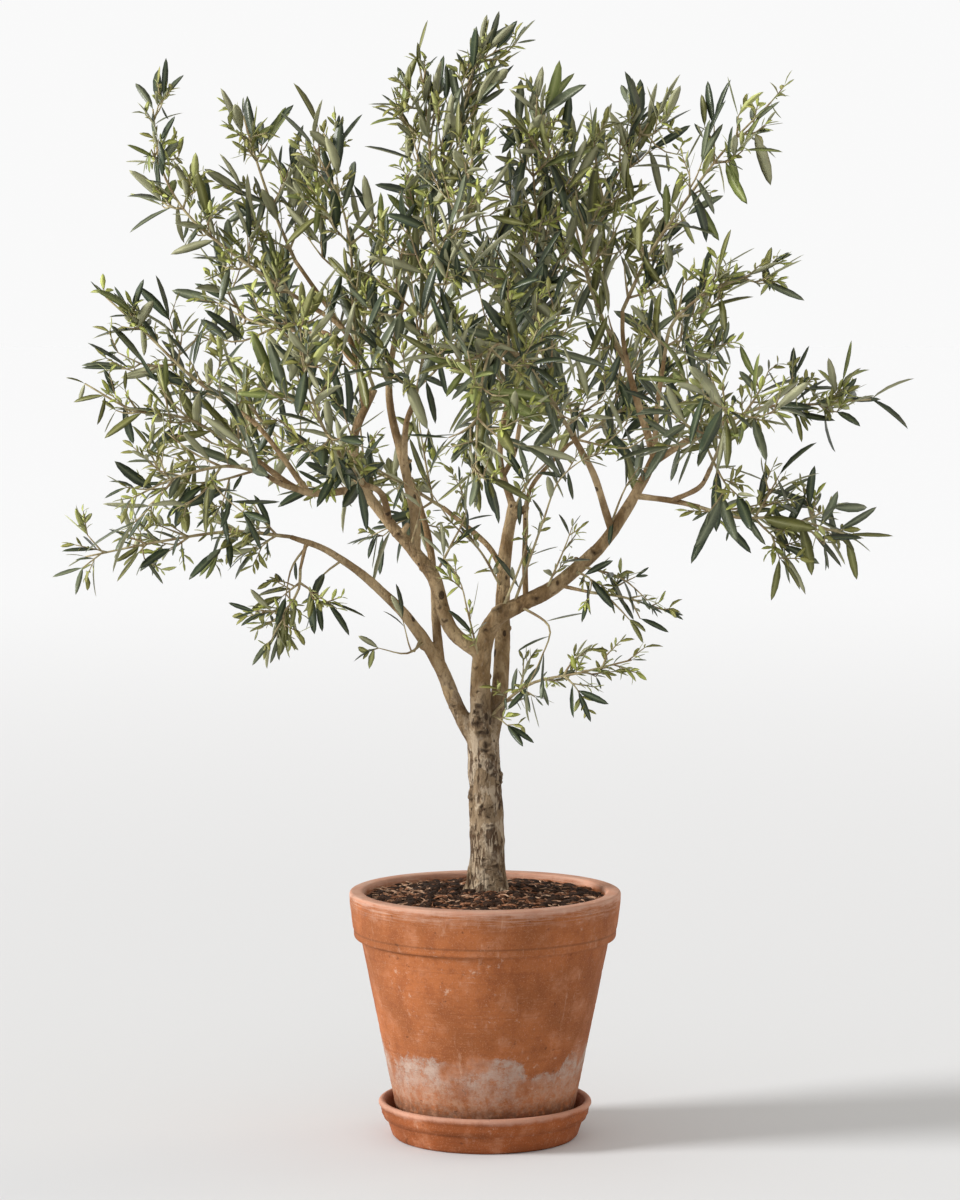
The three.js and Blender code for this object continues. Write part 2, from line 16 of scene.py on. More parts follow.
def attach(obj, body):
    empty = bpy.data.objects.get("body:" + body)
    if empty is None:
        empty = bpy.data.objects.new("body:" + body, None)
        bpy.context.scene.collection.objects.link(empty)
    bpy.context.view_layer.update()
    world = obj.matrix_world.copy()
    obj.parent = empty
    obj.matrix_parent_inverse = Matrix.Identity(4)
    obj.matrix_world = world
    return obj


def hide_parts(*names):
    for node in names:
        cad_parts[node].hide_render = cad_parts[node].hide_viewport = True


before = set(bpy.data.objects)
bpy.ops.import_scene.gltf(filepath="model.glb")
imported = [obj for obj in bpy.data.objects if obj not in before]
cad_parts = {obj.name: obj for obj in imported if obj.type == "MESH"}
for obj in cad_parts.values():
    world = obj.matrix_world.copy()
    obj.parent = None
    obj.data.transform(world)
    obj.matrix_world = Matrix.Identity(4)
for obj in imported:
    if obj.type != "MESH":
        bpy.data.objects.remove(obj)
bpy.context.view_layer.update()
MM = 0.001
noise.seed_set(7)  # noise_vector's offsets would otherwise follow the clock

# ---- Sizes, in millimetres: the same as the solids' own -----------------------------------------

TRUNK = {
    "base": 21.5, "top": 18.5, "flare": 8, "flare_height": 26, "buttresses": 5,
    "knots": [(3, 5, 282.5), (3, 3, 350), (-1, 0, 430), (-4, 0, 492)],
}

# name: (parent, share of the parent's length, radius at root and tip, knots)
LIMBS = {
    "limb_right": ("trunk", None, (12.8, 5.6), [(-5, -4, 470), (-4, -7, 560), (9, -9, 609),
        (76, -14, 648), (136, -18, 701), (180, -14, 768), (200, -10, 808)]),
    "limb_left": ("trunk", None, (10.4, 3), [(-8, 0, 462), (-33, 2, 508), (-54, 5, 558), (-105, -6, 630),
        (-180, -24, 692), (-226, -40, 711)]),
    "limb_back": ("trunk", None, (10.8, 7), [(6, 2, 470), (18, 14, 535), (21, 34, 612), (24, 52, 690),
        (35, 62, 746)]),
    "bough_left": ("limb_right", 0.24, (9.6, 4.4), [(-38, -9, 598), (-62, -10, 664), (-111, -11, 724),
        (-148, -18, 779), (-152, -28, 825), (-128, -40, 882)]),
    "bough_leader": ("bough_left", 0.4, (6.8, 3), [(-82, -2, 732), (-98, 0, 805), (-112, 0, 880),
        (-96, 0, 985)]),
    "bough_left_drop": ("limb_left", 0.94, (2.4, 1.8), [(-214, -48, 674)]),
    "bough_left_out": ("bough_left", 0.66, (4.8, 3), [(-208, -70, 765), (-268, -90, 807)]),
    "bough_left_front": ("bough_left_out", 0.55, (3.4, 2.5), [(-232, -110, 775), (-250, -150, 790)]),
    "bough_left_shoulder": ("bough_left_out", 0.5, (3.4, 2.4), [(-262, -40, 838), (-300, -30, 866)]),
    "bough_left_upper": ("bough_left", 0.93, (3.8, 2.6), [(-160, -40, 946), (-214, -30, 985)]),
    "bough_left_top": ("bough_left_upper", 0.6, (2.9, 2.3), [(-200, 0, 1000), (-222, 24, 1030)]),
    "bough_top_left": ("bough_leader", 0.9, (2.7, 2.2), [(-102, 24, 1010), (-90, 26, 1066)]),
    "bough_front_left": ("bough_left", 0.52, (4.4, 3.2), [(-120, -55, 762), (-140, -90, 775)]),
    "bough_front_upper": ("bough_leader", 0.33, (4, 3), [(-92, -30, 838), (-80, -66, 872)]),
    "bough_front": ("limb_right", 0.75, (4.8, 3.2), [(125, -60, 784), (100, -90, 830)]),
    "bough_right_upper": ("limb_right", 0.985, (5, 3.3), [(180, 10, 859), (163, 28, 920)]),
    "bough_right_crest": ("bough_right_upper", 0.85, (3.2, 2.4), [(161, 14, 940), (160, 6, 972)]),
    "bough_right_mid": ("limb_right", 0.985, (3.4, 2.4), [(199, -32, 859), (206, -46, 915)]),
    "bough_right_out": ("limb_right", 0.965, (4.6, 3), [(249, -12, 829), (286, -20, 846)]),
    "bough_right_low": ("limb_right", 0.865, (4, 3), [(217, -50, 753), (246, -66, 747)]),
    "bough_right_twig": ("limb_right", 0.538, (2.4, 1.8), [(122, -48, 647)]),
    "bough_front_right": ("bough_right_low", 0.6, (3.2, 2.6), [(244, -110, 772), (254, -155, 796)]),
    "bough_back_up": ("limb_back", 0.97, (4.4, 2.8), [(18, 90, 795), (26, 135, 860)]),
    "bough_inner": ("bough_back_up", 0.3, (3.3, 2.6), [(34, 90, 800), (42, 88, 840)]),
    "bough_back_left": ("limb_back", 0.7, (3.8, 2.8), [(6, 50, 691), (-12, 58, 708), (-50, 82, 738)]),
    "bough_back_right": ("limb_right", 0.44, (3.4, 2.4), [(47, 20, 697), (54, 80, 760), (100, 140, 810)]),
    "bough_upper_back": ("bough_right_upper", 0.9, (2.8, 2.3), [(140, 80, 960), (130, 110, 990)]),
    "bough_left_back": ("bough_left_upper", 0.3, (3, 2.4), [(-185, 30, 945), (-205, 75, 945)]),
}

# name: (the bough it carries on, spread of its side shoots, knots)
MASSES = {
    "foliage_top": ("bough_leader", 125, [(-70, 0, 1076), (-48, 0, 1139), (-24, -4, 1208),
        (-4, -6, 1272)]),
    "foliage_top_left": ("bough_top_left", 105, [(-66, 20, 1130), (-68, 14, 1200), (-78, 10, 1268)]),
    "foliage_left_inner": ("bough_left", 130, [(-150, -52, 945), (-152, -62, 1015), (-162, -66, 1085),
        (-196, -66, 1160)]),
    "foliage_left_upper": ("bough_left_upper", 100, [(-285, -20, 1033), (-346, -14, 1085),
        (-376, -6, 1140), (-385, 0, 1205)]),
    "foliage_left_top": ("bough_left_top", 112, [(-246, 44, 1084), (-266, 54, 1140), (-284, 58, 1200)]),
    "foliage_left_shoulder": ("bough_left_shoulder", 120, [(-345, -25, 900), (-392, -20, 945),
        (-440, -14, 988)]),
    "foliage_left_out": ("bough_left_out", 130, [(-340, -106, 850), (-400, -112, 860),
        (-455, -112, 890)]),
    "foliage_left_front": ("bough_left_front", 150, [(-290, -195, 800), (-345, -225, 788),
        (-392, -236, 766)]),
    "foliage_left_low": ("limb_left", 90, [(-290, -56, 718), (-370, -66, 708), (-460, -72, 690)]),
    "foliage_left_drop": ("bough_left_drop", 84, [(-216, -54, 650), (-236, -60, 622), (-262, -64, 606)]),
    "foliage_front_left": ("bough_front_left", 150, [(-165, -150, 812), (-184, -205, 852),
        (-198, -250, 905), (-208, -285, 965)]),
    "foliage_front_upper": ("bough_front_upper", 150, [(-70, -115, 925), (-64, -155, 990),
        (-42, -188, 1060), (-14, -205, 1140)]),
    "foliage_front": ("bough_front", 145, [(70, -125, 880), (38, -170, 922), (10, -220, 935),
        (-4, -260, 895), (-10, -286, 825), (-10, -294, 775)]),
    "foliage_front_right": ("bough_front_right", 150, [(262, -210, 828), (264, -255, 858),
        (258, -290, 895)]),
    "foliage_right_inner": ("bough_right_upper", 145, [(134, 46, 972), (116, 50, 1045), (152, 36, 1125),
        (190, 24, 1190)]),
    "foliage_right_crest": ("bough_right_crest", 100, [(187, 2, 1030), (226, -4, 1090), (276, -8, 1156),
        (330, -10, 1212)]),
    "foliage_right_mid": ("bough_right_mid", 95, [(214, -52, 955), (250, -60, 990), (300, -66, 1012),
        (328, -70, 1026)]),
    "foliage_right_out": ("bough_right_out", 95, [(320, -24, 860), (380, -30, 864), (446, -36, 870)]),
    "foliage_right_low": ("bough_right_low", 125, [(290, -86, 736), (345, -98, 736), (412, -108, 718)]),
    "foliage_right_twig": ("bough_right_twig", 68, [(160, -56, 642), (205, -60, 628)]),
    "foliage_low_right": ("trunk", 60, [(50, -18, 536), (110, -34, 552), (170, -44, 568)]),
    "foliage_centre": ("bough_inner", 150, [(52, 70, 890), (60, 40, 970), (60, 12, 1070), (54, -8, 1150),
        (50, -12, 1200)]),
    "foliage_back": ("bough_back_up", 160, [(34, 190, 920), (42, 240, 985), (46, 280, 1040)]),
    "foliage_back_left": ("bough_back_left", 160, [(-110, 120, 770), (-185, 170, 790), (-250, 215, 815),
        (-285, 235, 850)]),
    "foliage_back_right": ("bough_back_right", 160, [(160, 200, 846), (215, 240, 880), (260, 262, 920)]),
    "foliage_upper_back": ("bough_upper_back", 150, [(116, 145, 1040), (104, 180, 1100),
        (98, 205, 1150)]),
    "foliage_left_back": ("bough_left_back", 150, [(-245, 120, 950), (-285, 165, 960), (-325, 205, 980)]),
}

# lengths in mm, angles in degrees, pairs are the least and the most; a share is a chance or a part of one
GROWTH = {
    "first_twigs": 16, "twig_step": 30, "twig_angle": 50, "second_twigs": 0.7, "first_leaves": 14,
    "leaf_step": 21, "leaf_angle": 46, "leaf_width": 0.19, "leaf": (46, 72), "full_share": 0.5,
    "half_leaf": (20, 38), "half_share": 0.2, "sprig": (9, 30), "sprig_share": 0.58, "tender": (8, 21),
    "long_tips": 0.6, "sprig_tips": 0.5,
    "hanging": 0.14, "wander": 26, "clear_of_limbs": 3, "clear_of_masses": 4, "tries": 5,
    "inner_fullness": 0.8, "outer_fullness": 0.5, "crown_reach": 380,
}

# thin shoots straight from the limbs: (limb, share of its length, how leafy, knots)
SHOOTS = [
    ("limb_right", 0.36, 0.15, [(48, -38, 705), (45, -50, 776)]),
    ("limb_right", 0.4, 1.1, [(66, -44, 726), (84, -64, 776), (108, -84, 800), (130, -96, 812)]),
    ("limb_right", 0.2, 0.7, [(-21, -40, 627), (-29, -48, 659), (-48, -55, 689)]),
    ("limb_left", 0.42, 0.5, [(-85, -30, 576), (-96, -42, 616)]),
    ("limb_left", 0.4, 0.1, [(-92, -30, 574), (-124, -45, 582)]),
    ("limb_right", 0.42, 0.6, [(75, -58, 605), (63, -66, 569), (49, -70, 539)]),
    ("limb_right", 0.62, 1.0, [(158, -60, 664), (187, -74, 640)]),
    ("limb_right", 0.6, 1.0, [(123, -60, 660), (119, -66, 643)]),
    ("limb_right", 0.72, 0.5, [(163, -30, 768), (179, -34, 792)]),
    ("bough_left", 0.42, 0.8, [(-75, -60, 758), (-93, -80, 776)]),
    ("limb_right", 0.5, 0.9, [(93, -60, 703), (100, -70, 724)]),
    ("limb_left", 0.93, 0.9, [(-224, -40, 676), (-231, -50, 642)]),
    ("limb_left", 0.8, 0.7, [(-190, -20, 663), (-195, -24, 640)]),
    ("limb_back", 0.62, 0.9, [(-8, 10, 694), (-38, -6, 724), (-62, -20, 760)]),
    ("limb_back", 0.95, 1.0, [(52, 40, 772), (76, 20, 800), (88, 4, 836)]),
    ("bough_left", 0.3, 0.9, [(-40, -30, 700), (-22, -50, 742), (-30, -60, 776)]),
]

# ---- Curves -------------------------------------------------------------------------------------


def unit(v):
    return v / np.linalg.norm(v)


def spline(knots, per_span=24):
    """A centripetal Catmull-Rom curve through the knots, as a dense list of points."""
    p = [np.array(k, float) for k in knots]
    p = [2 * p[0] - p[1]] + p + [2 * p[-1] - p[-2]]
    out = [p[1]]
    for a, b, c, d in zip(p, p[1:], p[2:], p[3:]):
        da, db, dc = (max(np.linalg.norm(v) ** 0.5, 1e-4) for v in (b - a, c - b, d - c))
        m1 = ((b - a) / da - (c - a) / (da + db) + (c - b) / db) * db
        m2 = ((c - b) / db - (d - b) / (db + dc) + (d - c) / dc) * db
        for t in np.linspace(0, 1, per_span + 1)[1:]:
            t2, t3 = t * t, t * t * t
            out.append((2 * t3 - 3 * t2 + 1) * b + (t3 - 2 * t2 + t) * m1
                       + (3 * t2 - 2 * t3) * c + (t3 - t2) * m2)
    return np.array(out)


class Path:
    """A curve measured by its own length."""

    def __init__(self, points):
        self.points = np.asarray(points, float)
        steps = np.linalg.norm(np.diff(self.points, axis=0), axis=1)
        self.along = np.concatenate([[0], np.cumsum(steps)])
        self.length = float(self.along[-1])

    def at(self, share):
        where = np.clip(share, 0, 1) * self.length
        return np.array([np.interp(where, self.along, self.points[:, k]) for k in range(3)]).T

    def heading(self, share, reach=0.02):
        return unit(self.at(min(1, share + reach)) - self.at(max(0, share - reach)))

    def spaced(self, count):
        return self.at(np.linspace(0, 1, count + 1))


PATHS = {"trunk": Path(spline(TRUNK["knots"]))}
for limb_name, (parent, share, _, limb_knots) in LIMBS.items():
    root = [] if share is None else [PATHS[parent].at(share)]
    PATHS[limb_name] = Path(spline(root + list(limb_knots)))

STEMS = {}
for mass_name, (on, _, stem_knots) in MASSES.items():
    STEMS[mass_name] = Path(spline([PATHS[on].at(0.98 if on == "trunk" else 1)] + list(stem_knots)))


def turned(axis, angle, turn):
    """A direction at an angle to an axis, towards the side at a turn about it."""
    side = np.cross(axis, (0, 0, 1))
    side = unit(side) if np.linalg.norm(side) > 1e-3 else np.array((1.0, 0, 0))
    other = np.cross(axis, side)
    return axis * math.cos(angle) + (side * math.cos(turn) + other * math.sin(turn)) * math.sin(angle)


# ---- Mesh building ------------------------------------------------------------------------------


class Shape:
    """Points and faces gathered from many parts of one piece."""

    def __init__(self):
        self.points, self.faces, self.slots, self.marks, self.count = [], [], [], [], 0

    def add(self, points, faces, slots=0, mark=None):
        points = np.asarray(points, float)
        self.points.append(points)
        self.faces += [[i + self.count for i in face] for face in faces]
        self.slots += slots if isinstance(slots, list) else [slots] * len(faces)
        self.marks.append(np.zeros(len(points)) if mark is None else np.broadcast_to(mark, len(points)))
        self.count += len(points)

    def piece(self, name, materials, mark_name=None, smooth=True):
        mesh = bpy.data.meshes.new(name)
        mesh.from_pydata((np.vstack(self.points) * MM).tolist(), [], self.faces)
        mesh.validate()
        if mark_name:
            add_mark(mesh, mark_name, np.concatenate(self.marks))
        for material in materials:
            mesh.materials.append(material)
        mesh.polygons.foreach_set("material_index", self.slots)
        mesh.polygons.foreach_set("use_smooth", [smooth] * len(mesh.polygons))
        return new_object(name, mesh)


def new_object(name, data):
    made = bpy.data.objects.new(name, data)
    bpy.context.scene.collection.objects.link(made)
    return made


def add_mark(mesh, name, values):
    """One number for each point of a mesh, for its material to read."""
    layer = mesh.attributes.new(name, "FLOAT", "POINT")
    layer.data.foreach_set("value", np.asarray(values, np.float32))


def add_node(tree, kind, settings, inputs):
    """A new node of a tree, with its settings and then the values or links of its inputs."""
    made = tree.nodes.new(kind)
    for key, value in settings.items():
        setattr(made, key, value)
    for key, value in inputs.items():
        if isinstance(value, bpy.types.NodeSocket):
            tree.links.new(value, made.inputs[key])
        else:
            made.inputs[key].default_value = value
    return made


def tube(path_points, radii, sides, ripple=None):
    """Points and faces of a closed tube. ripple(ring, angles) scales each ring's radius."""
    points = np.asarray(path_points, float)
    heading = np.gradient(points, axis=0)
    heading /= np.linalg.norm(heading, axis=1, keepdims=True)
    side = np.cross(heading[0], (0, 0, 1))
    side = unit(side) if np.linalg.norm(side) > 1e-3 else np.array((1.0, 0, 0))
    angles = np.arange(sides) * 2 * math.pi / sides
    rings = []
    for k, (centre, ahead) in enumerate(zip(points, heading)):
        side = unit(side - ahead * side.dot(ahead))
        other = np.cross(ahead, side)
        radius = radii[k] * (ripple(k, angles) if ripple else np.ones(sides))
        rings.append(centre + np.outer(radius * np.cos(angles), side)
                     + np.outer(radius * np.sin(angles), other))
    last = len(points) - 1
    vertices = np.vstack(rings + [points[:1], points[-1:]])
    base, tip = len(vertices) - 2, len(vertices) - 1
    faces = []
    for k in range(last):
        for j in range(sides):
            a, b = k * sides + j, k * sides + (j + 1) % sides
            faces.append([a, b, b + sides, a + sides])
    for j in range(sides):
        faces.append([base, (j + 1) % sides, j])
        faces.append([tip, last * sides + j, last * sides + (j + 1) % sides])
    return vertices, faces


def lathe(profile, segments):
    """A closed profile of (radius, height) points, from the axis back to the axis, turned round +Z."""
    rows, faces, vertices = [], [], []
    angles = np.arange(segments) * 2 * math.pi / segments
    for radius, height in profile:
        if radius < 1e-6:
            rows.append([len(vertices)])
            vertices.append((0, 0, height))
        else:
            rows.append(list(range(len(vertices), len(vertices) + segments)))
            vertices += [(radius * math.cos(a), radius * math.sin(a), height) for a in angles]
    for low, high in zip(rows, rows[1:]):
        for j in range(segments):
            k = (j + 1) % segments
            if len(low) == 1:
                faces.append([low[0], high[k], high[j]])
            elif len(high) == 1:
                faces.append([low[j], low[k], high[0]])
            else:
                faces.append([low[j], low[k], high[k], high[j]])
    return np.array(vertices, float), faces


def applied(thing):
    """The object's modifiers baked into a plain mesh of its own."""
    evaluated = thing.evaluated_get(bpy.context.evaluated_depsgraph_get())
    mesh = bpy.data.meshes.new_from_object(evaluated)
    thing.modifiers.clear()
    thing.data = mesh
    return thing


def coordinates(mesh):
    flat = np.empty(len(mesh.vertices) * 3, np.float32)
    mesh.vertices.foreach_get("co", flat)
    return flat.reshape(-1, 3).astype(float)


def normals(mesh):
    flat = np.empty(len(mesh.vertices) * 3, np.float32)
    mesh.vertex_normals.foreach_get("vector", flat)
    return flat.reshape(-1, 3).astype(float)


def dressed(piece, slot, *nodes):
    """Puts a finished piece on the body and in the place of the solids that it stands for."""
    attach(piece, "root")
    if nodes:
        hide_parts(*nodes)
    return piece


# ---- Materials ----------------------------------------------------------------------------------


def arithmetic(operation, swapped=False):
    """A Value's method for one operator: it adds that operation's Math node."""

    def method(self, other):
        pair = (other, self) if swapped else (self, other)
        return self.look.node("ShaderNodeMath", {"operation": operation}, {0: pair[0], 1: pair[1]})

    return method


class Value:
    """A number that varies over a surface: shader maths on it reads as an expression."""

    def __init__(self, look, socket):
        self.look, self.socket = look, socket

    __add__, __radd__ = arithmetic("ADD"), arithmetic("ADD", swapped=True)
    __sub__, __rsub__ = arithmetic("SUBTRACT"), arithmetic("SUBTRACT", swapped=True)
    __mul__, __rmul__ = arithmetic("MULTIPLY"), arithmetic("MULTIPLY", swapped=True)
    __pow__ = arithmetic("POWER")

    def ramp(self, low, high):
        """0 at low and below, 1 at high and above, with soft ends."""
        return self.look.node("ShaderNodeMapRange", {"interpolation_type": "SMOOTHSTEP"},
                              {"Value": self, "From Min": low, "From Max": high})


class Look:
    """One material: its nodes are added by node(), its shader is the Principled one."""

    def __init__(self, name, **constants):
        self.material = bpy.data.materials.new(name)
        self.material.use_nodes = True
        self.tree = self.material.node_tree
        self.shader = next(n for n in self.tree.nodes if n.type == "BSDF_PRINCIPLED")
        for socket, value in constants.items():
            self.shader.inputs[socket.replace("_", " ")].default_value = value
        self.place = self.node("ShaderNodeTexCoord", {}, {}, "Object")

    def node(self, kind, settings, inputs, output=0):
        plain = {key: value.socket if isinstance(value, Value) else value for key, value in inputs.items()}
        return Value(self, add_node(self.tree, kind, settings, plain).outputs[output])

    def feed(self, socket, value):
        self.tree.links.new(value.socket, self.shader.inputs[socket])

    def stretched(self, x, y, z):
        return self.node("ShaderNodeVectorMath", {"operation": "MULTIPLY"}, {0: self.place, 1: (x, y, z)})

    def height(self):
        return self.node("ShaderNodeSeparateXYZ", {}, {0: self.place}, "Z")

    def noise(self, scale, detail=4, rough=0.55, place=None):
        return self.node("ShaderNodeTexNoise", {}, {
            "Vector": place or self.place, "Scale": scale, "Detail": detail, "Roughness": rough})

    def mark(self, name):
        return self.node("ShaderNodeAttribute", {"attribute_name": name}, {}, "Fac")

    def blend(self, share, first, second, how="MIX"):
        return self.node("ShaderNodeMix", {"data_type": "RGBA", "blend_type": how},
                         {"Factor": share, 6: first, 7: second}, 2)

    def coats(self, base, *coats):
        """Coats laid over a base colour in turn, each with its share and its colour."""
        for share, colour in coats:
            base = self.blend(share, base, rgb(*colour))
        return base

    def finish(self, colour, roughness, relief=None, depth=0.001):
        self.feed("Base Color", colour)
        self.feed("Roughness", roughness)
        if relief is not None:
            self.feed("Normal", self.node("ShaderNodeBump", {}, {
                "Height": relief, "Distance": depth, "Strength": 1.0}, "Normal"))
        return self.material


def rgb(r, g, b):
    return (r, g, b, 1.0)


def shaded(colour, factor):
    """A colour made darker or lighter."""
    return rgb(*[min(1, channel * factor) for channel in colour])


CREASE = 0.246  # metres: the height of the painted shadow line under the pot's rim band


def terracotta(name, clay, bloom_top, rim_z):
    """Fired clay: deep orange, clouded and scuffed, with a ragged bloom of lime. The pale lip is partly
    wear and partly a painted highlight; the dark line under the rim band is a painted shadow.

    bloom_top is how high the lime reaches, below 0 for none, and the lip is paler above rim_z: metres.
    """
    look = Look(name, Specular_IOR_Level=0.15)
    z = look.height()
    cloud = look.noise(9, 6, 0.6)
    patch = look.noise(34, 5, 0.65)
    fine = look.noise(160, 4, 0.65)
    grit = look.noise(650, 2, 0.5)
    rings = look.noise(1, 3, 0.55, look.stretched(5, 5, 330))
    scuff = look.noise(1, 5, 0.7, look.stretched(90, 90, 12))
    streak = look.noise(1, 4, 0.7, look.stretched(26, 26, 520))
    nick = look.noise(95, 3, 0.6).ramp(0.66, 0.72)
    dust = look.noise(75, 6, 0.78).ramp(0.58, 0.68) * cloud.ramp(0.4, 0.6) * 0.6
    ragged = (look.noise(16, 3, 0.5) - 0.5) * 0.13 + (look.noise(60, 7, 0.85) - 0.5) * 0.085
    bloom = (bloom_top + ragged - z).ramp(-0.005, 0.008)
    bloom = bloom * (z - bloom_top + 0.036 - ragged * 0.6).ramp(-0.03, 0.03)
    bloom = bloom * (look.noise(70, 7, 0.85).ramp(0.36, 0.58) * 0.85 + 0.15)
    bloom = bloom * (look.noise(19, 2, 0.5).ramp(0.42, 0.54) * 0.8 + 0.2)
    low = (bloom_top - 0.02 + ragged - z).ramp(-0.01, 0.03) * look.noise(110, 5, 0.8).ramp(0.42, 0.6)
    damp = (bloom_top - 0.044 + ragged * 0.12 - z).ramp(0, 0.02) * fine.ramp(0.3, 0.55)
    # lip: the rim's top made paler, partly wear and partly a painted highlight
    lip = (z + (look.noise(20, 5, 0.7) - 0.5) * 0.02).ramp(rim_z - 0.004, rim_z + 0.004)
    # a painted shadow along the crease under the rim band, darkening the clay there
    painted_crease_shadow = (0.012 - (z - CREASE) * (z - CREASE) * 2200 - fine * 0.008).ramp(0, 0.012)
    base = look.coats(
        look.blend(cloud.ramp(0.36, 0.66), shaded(clay, 0.76), shaded(clay, 1.14)),
        (patch.ramp(0.5, 0.7) * 0.5, (0.44, 0.19, 0.1)),
        ((1 - patch.ramp(0.36, 0.46)) * 0.35, (0.2, 0.056, 0.02)),
        (fine.ramp(0.5, 0.66) * 0.38, (0.22, 0.068, 0.026)),
        (grit.ramp(0.56, 0.68) * 0.3, (0.5, 0.25, 0.15)),
        (rings.ramp(0.56, 0.74) * 0.3, (0.2, 0.06, 0.022)),
        (scuff.ramp(0.58, 0.72) * patch.ramp(0.35, 0.6) * 0.5, (0.52, 0.31, 0.21)),
        (dust, (0.52, 0.35, 0.26)),
        (streak.ramp(0.6, 0.7) * patch.ramp(0.42, 0.58) * 0.4, (0.55, 0.33, 0.23)),
        (nick * 0.6, (0.12, 0.04, 0.018)),
        (low * 0.5, (0.4, 0.25, 0.17)),
        (bloom * 0.82, (0.43, 0.35, 0.3)),
        (damp * 0.65, (0.11, 0.05, 0.03)),
        # the pale lip: partly wear, partly a painted highlight
        (lip * 0.55, (0.62, 0.37, 0.28)))
    if bloom_top > 0:
        wear = (z + (look.noise(45, 6, 0.8) - 0.5) * 0.05).ramp(rim_z - 0.02, rim_z)
        base = look.coats(base, (wear * streak.ramp(0.42, 0.6) * 0.4, (0.54, 0.37, 0.29)))
    # the painted shadow in the crease under the rim band
    base = look.coats(base, (painted_crease_shadow * 0.6, (0.12, 0.045, 0.02)))
    relief = rings * 0.5 + fine * 0.4 + grit * 0.25 + patch * 0.6 + bloom * 0.3 - nick * 0.3
    return look.finish(base, 0.72 + bloom * 0.2 + grit * 0.12, relief, 0.0012)


def compost_look(name, dark, light, scale=260):
    look = Look(name, Specular_IOR_Level=0.2)
    crumb = look.noise(scale, 4, 0.65)
    base = look.blend(crumb.ramp(0.4, 0.66), rgb(*dark), rgb(*light))
    return look.finish(base, 0.86 + crumb * 0.14, crumb, 0.0012)


def bark_look():
    """Grey-beige bark, tan on the boughs, with pale patches, dark splits, level cracks and small pits."""
    look = Look("olive_bark", Specular_IOR_Level=0.2)
    girth, crack, z = look.mark("girth"), look.mark("crack"), look.height()
    cloud = look.noise(30, 5, 0.62, look.stretched(1, 1, 0.45))
    fine = look.noise(230, 5, 0.7, look.stretched(1, 1, 0.5))
    old_bark = (0.52 - z + cloud * 0.09).ramp(0.0, 0.12) * girth.ramp(0.004, 0.008)
    upper = (z - 0.34 + cloud * 0.05).ramp(0, 0.08) * old_bark
    plates = look.noise(58, 4, 0.6, look.stretched(1, 1, 0.6)).ramp(0.49, 0.55)
    level = look.noise(1, 3, 0.6, look.stretched(38, 38, 190)).ramp(0.62, 0.68)
    level = level * (0.37 - z).ramp(0, 0.06) * old_bark * (1 - crack)
    line = look.noise(54, 4, 0.65, look.stretched(1, 1, 0.22)) - 0.5
    fissure = (0.0013 - line * line).ramp(0, 0.0008) * look.noise(24, 3, 0.6).ramp(0.42, 0.52) * old_bark
    chip = look.noise(130, 3, 0.6, look.stretched(1, 1, 0.9)).ramp(0.65, 0.69) * old_bark
    cell = look.node("ShaderNodeTexVoronoi", {}, {
        "Vector": look.stretched(1, 1, 0.6), "Scale": 62.0}, "Distance")
    pit = (look.noise(24, 1) * 0.5 - 0.1 - cell).ramp(0, 0.06)
    young = look.blend(cloud.ramp(0.38, 0.66), rgb(0.21, 0.13, 0.06), rgb(0.5, 0.365, 0.208))
    old = look.blend(cloud.ramp(0.36, 0.6), rgb(0.2, 0.135, 0.076), rgb(0.37, 0.29, 0.2))
    base = look.coats(
        look.blend(old_bark, young, old),
        (upper * 0.7, (0.19, 0.125, 0.066)),
        (plates * old_bark * 0.62, (0.47, 0.385, 0.285)),
        (fine.ramp(0.54, 0.7) * 0.35, (0.4, 0.32, 0.23)),
        ((1 - fine.ramp(0.33, 0.46)) * 0.55, (0.09, 0.055, 0.032)),
        (level * 0.75, (0.045, 0.028, 0.017)),
        (fissure * 0.88, (0.07, 0.036, 0.017)),
        (chip * 0.85, (0.06, 0.034, 0.018)),
        (pit * 0.85, (0.035, 0.02, 0.011)),
        (crack * 0.9, (0.045, 0.026, 0.015)))
    relief = fine * 0.7 + cloud * 0.7 + plates * 0.25
    relief = relief - crack * 0.5 - level * 0.5 - pit * 0.5 - fissure * 0.8
    return look.finish(base, 0.78 + fine * 0.15, relief, 0.0034)


def leaf_look(name, shade, vein, roughness):
    """The face of a leaf: its colour shifts a little from spray to spray, with a pale midrib."""
    look = Look(name, Coat_Weight=0.0, Specular_IOR_Level=0.42)
    shift = look.noise(26, 2, 0.5)
    speck = look.noise(420, 2, 0.5)
    base = look.coats(
        look.blend(shift.ramp(0.3, 0.7), shaded(shade, 0.72), shaded(shade, 1.25)),
        (speck.ramp(0.45, 0.75) * 0.2, vein),
        ((look.mark("rib") ** 5) * 0.6, vein))
    return look.finish(base, roughness + speck * 0.1, speck, 0.0002)


def twig_look():
    look = Look("olive_twig")
    cloud = look.noise(60, 4, 0.6)
    base = look.blend(cloud.ramp(0.35, 0.65), rgb(0.22, 0.15, 0.075), rgb(0.42, 0.36, 0.2))
    return look.finish(base, 0.72 + cloud * 0.15, look.noise(400, 3, 0.6), 0.0005)


# ---- Pot, saucer and compost --------------------------------------------------------------------


def arc(radius, height, size, start, end, count):
    angles = np.radians(np.linspace(start, end, count))
    return [(radius + size * math.cos(a), height + size * math.sin(a)) for a in angles]


def filled(profile, step):
    """The profile with more points on its long straight runs."""
    out = [profile[0]]
    for (r0, z0), (r1, z1) in zip(profile, profile[1:]):
        count = max(1, round(math.hypot(r1 - r0, z1 - z0) / step))
        out += [(r0 + (r1 - r0) * k / count, z0 + (z1 - z0) * k / count) for k in range(1, count + 1)]
    return out


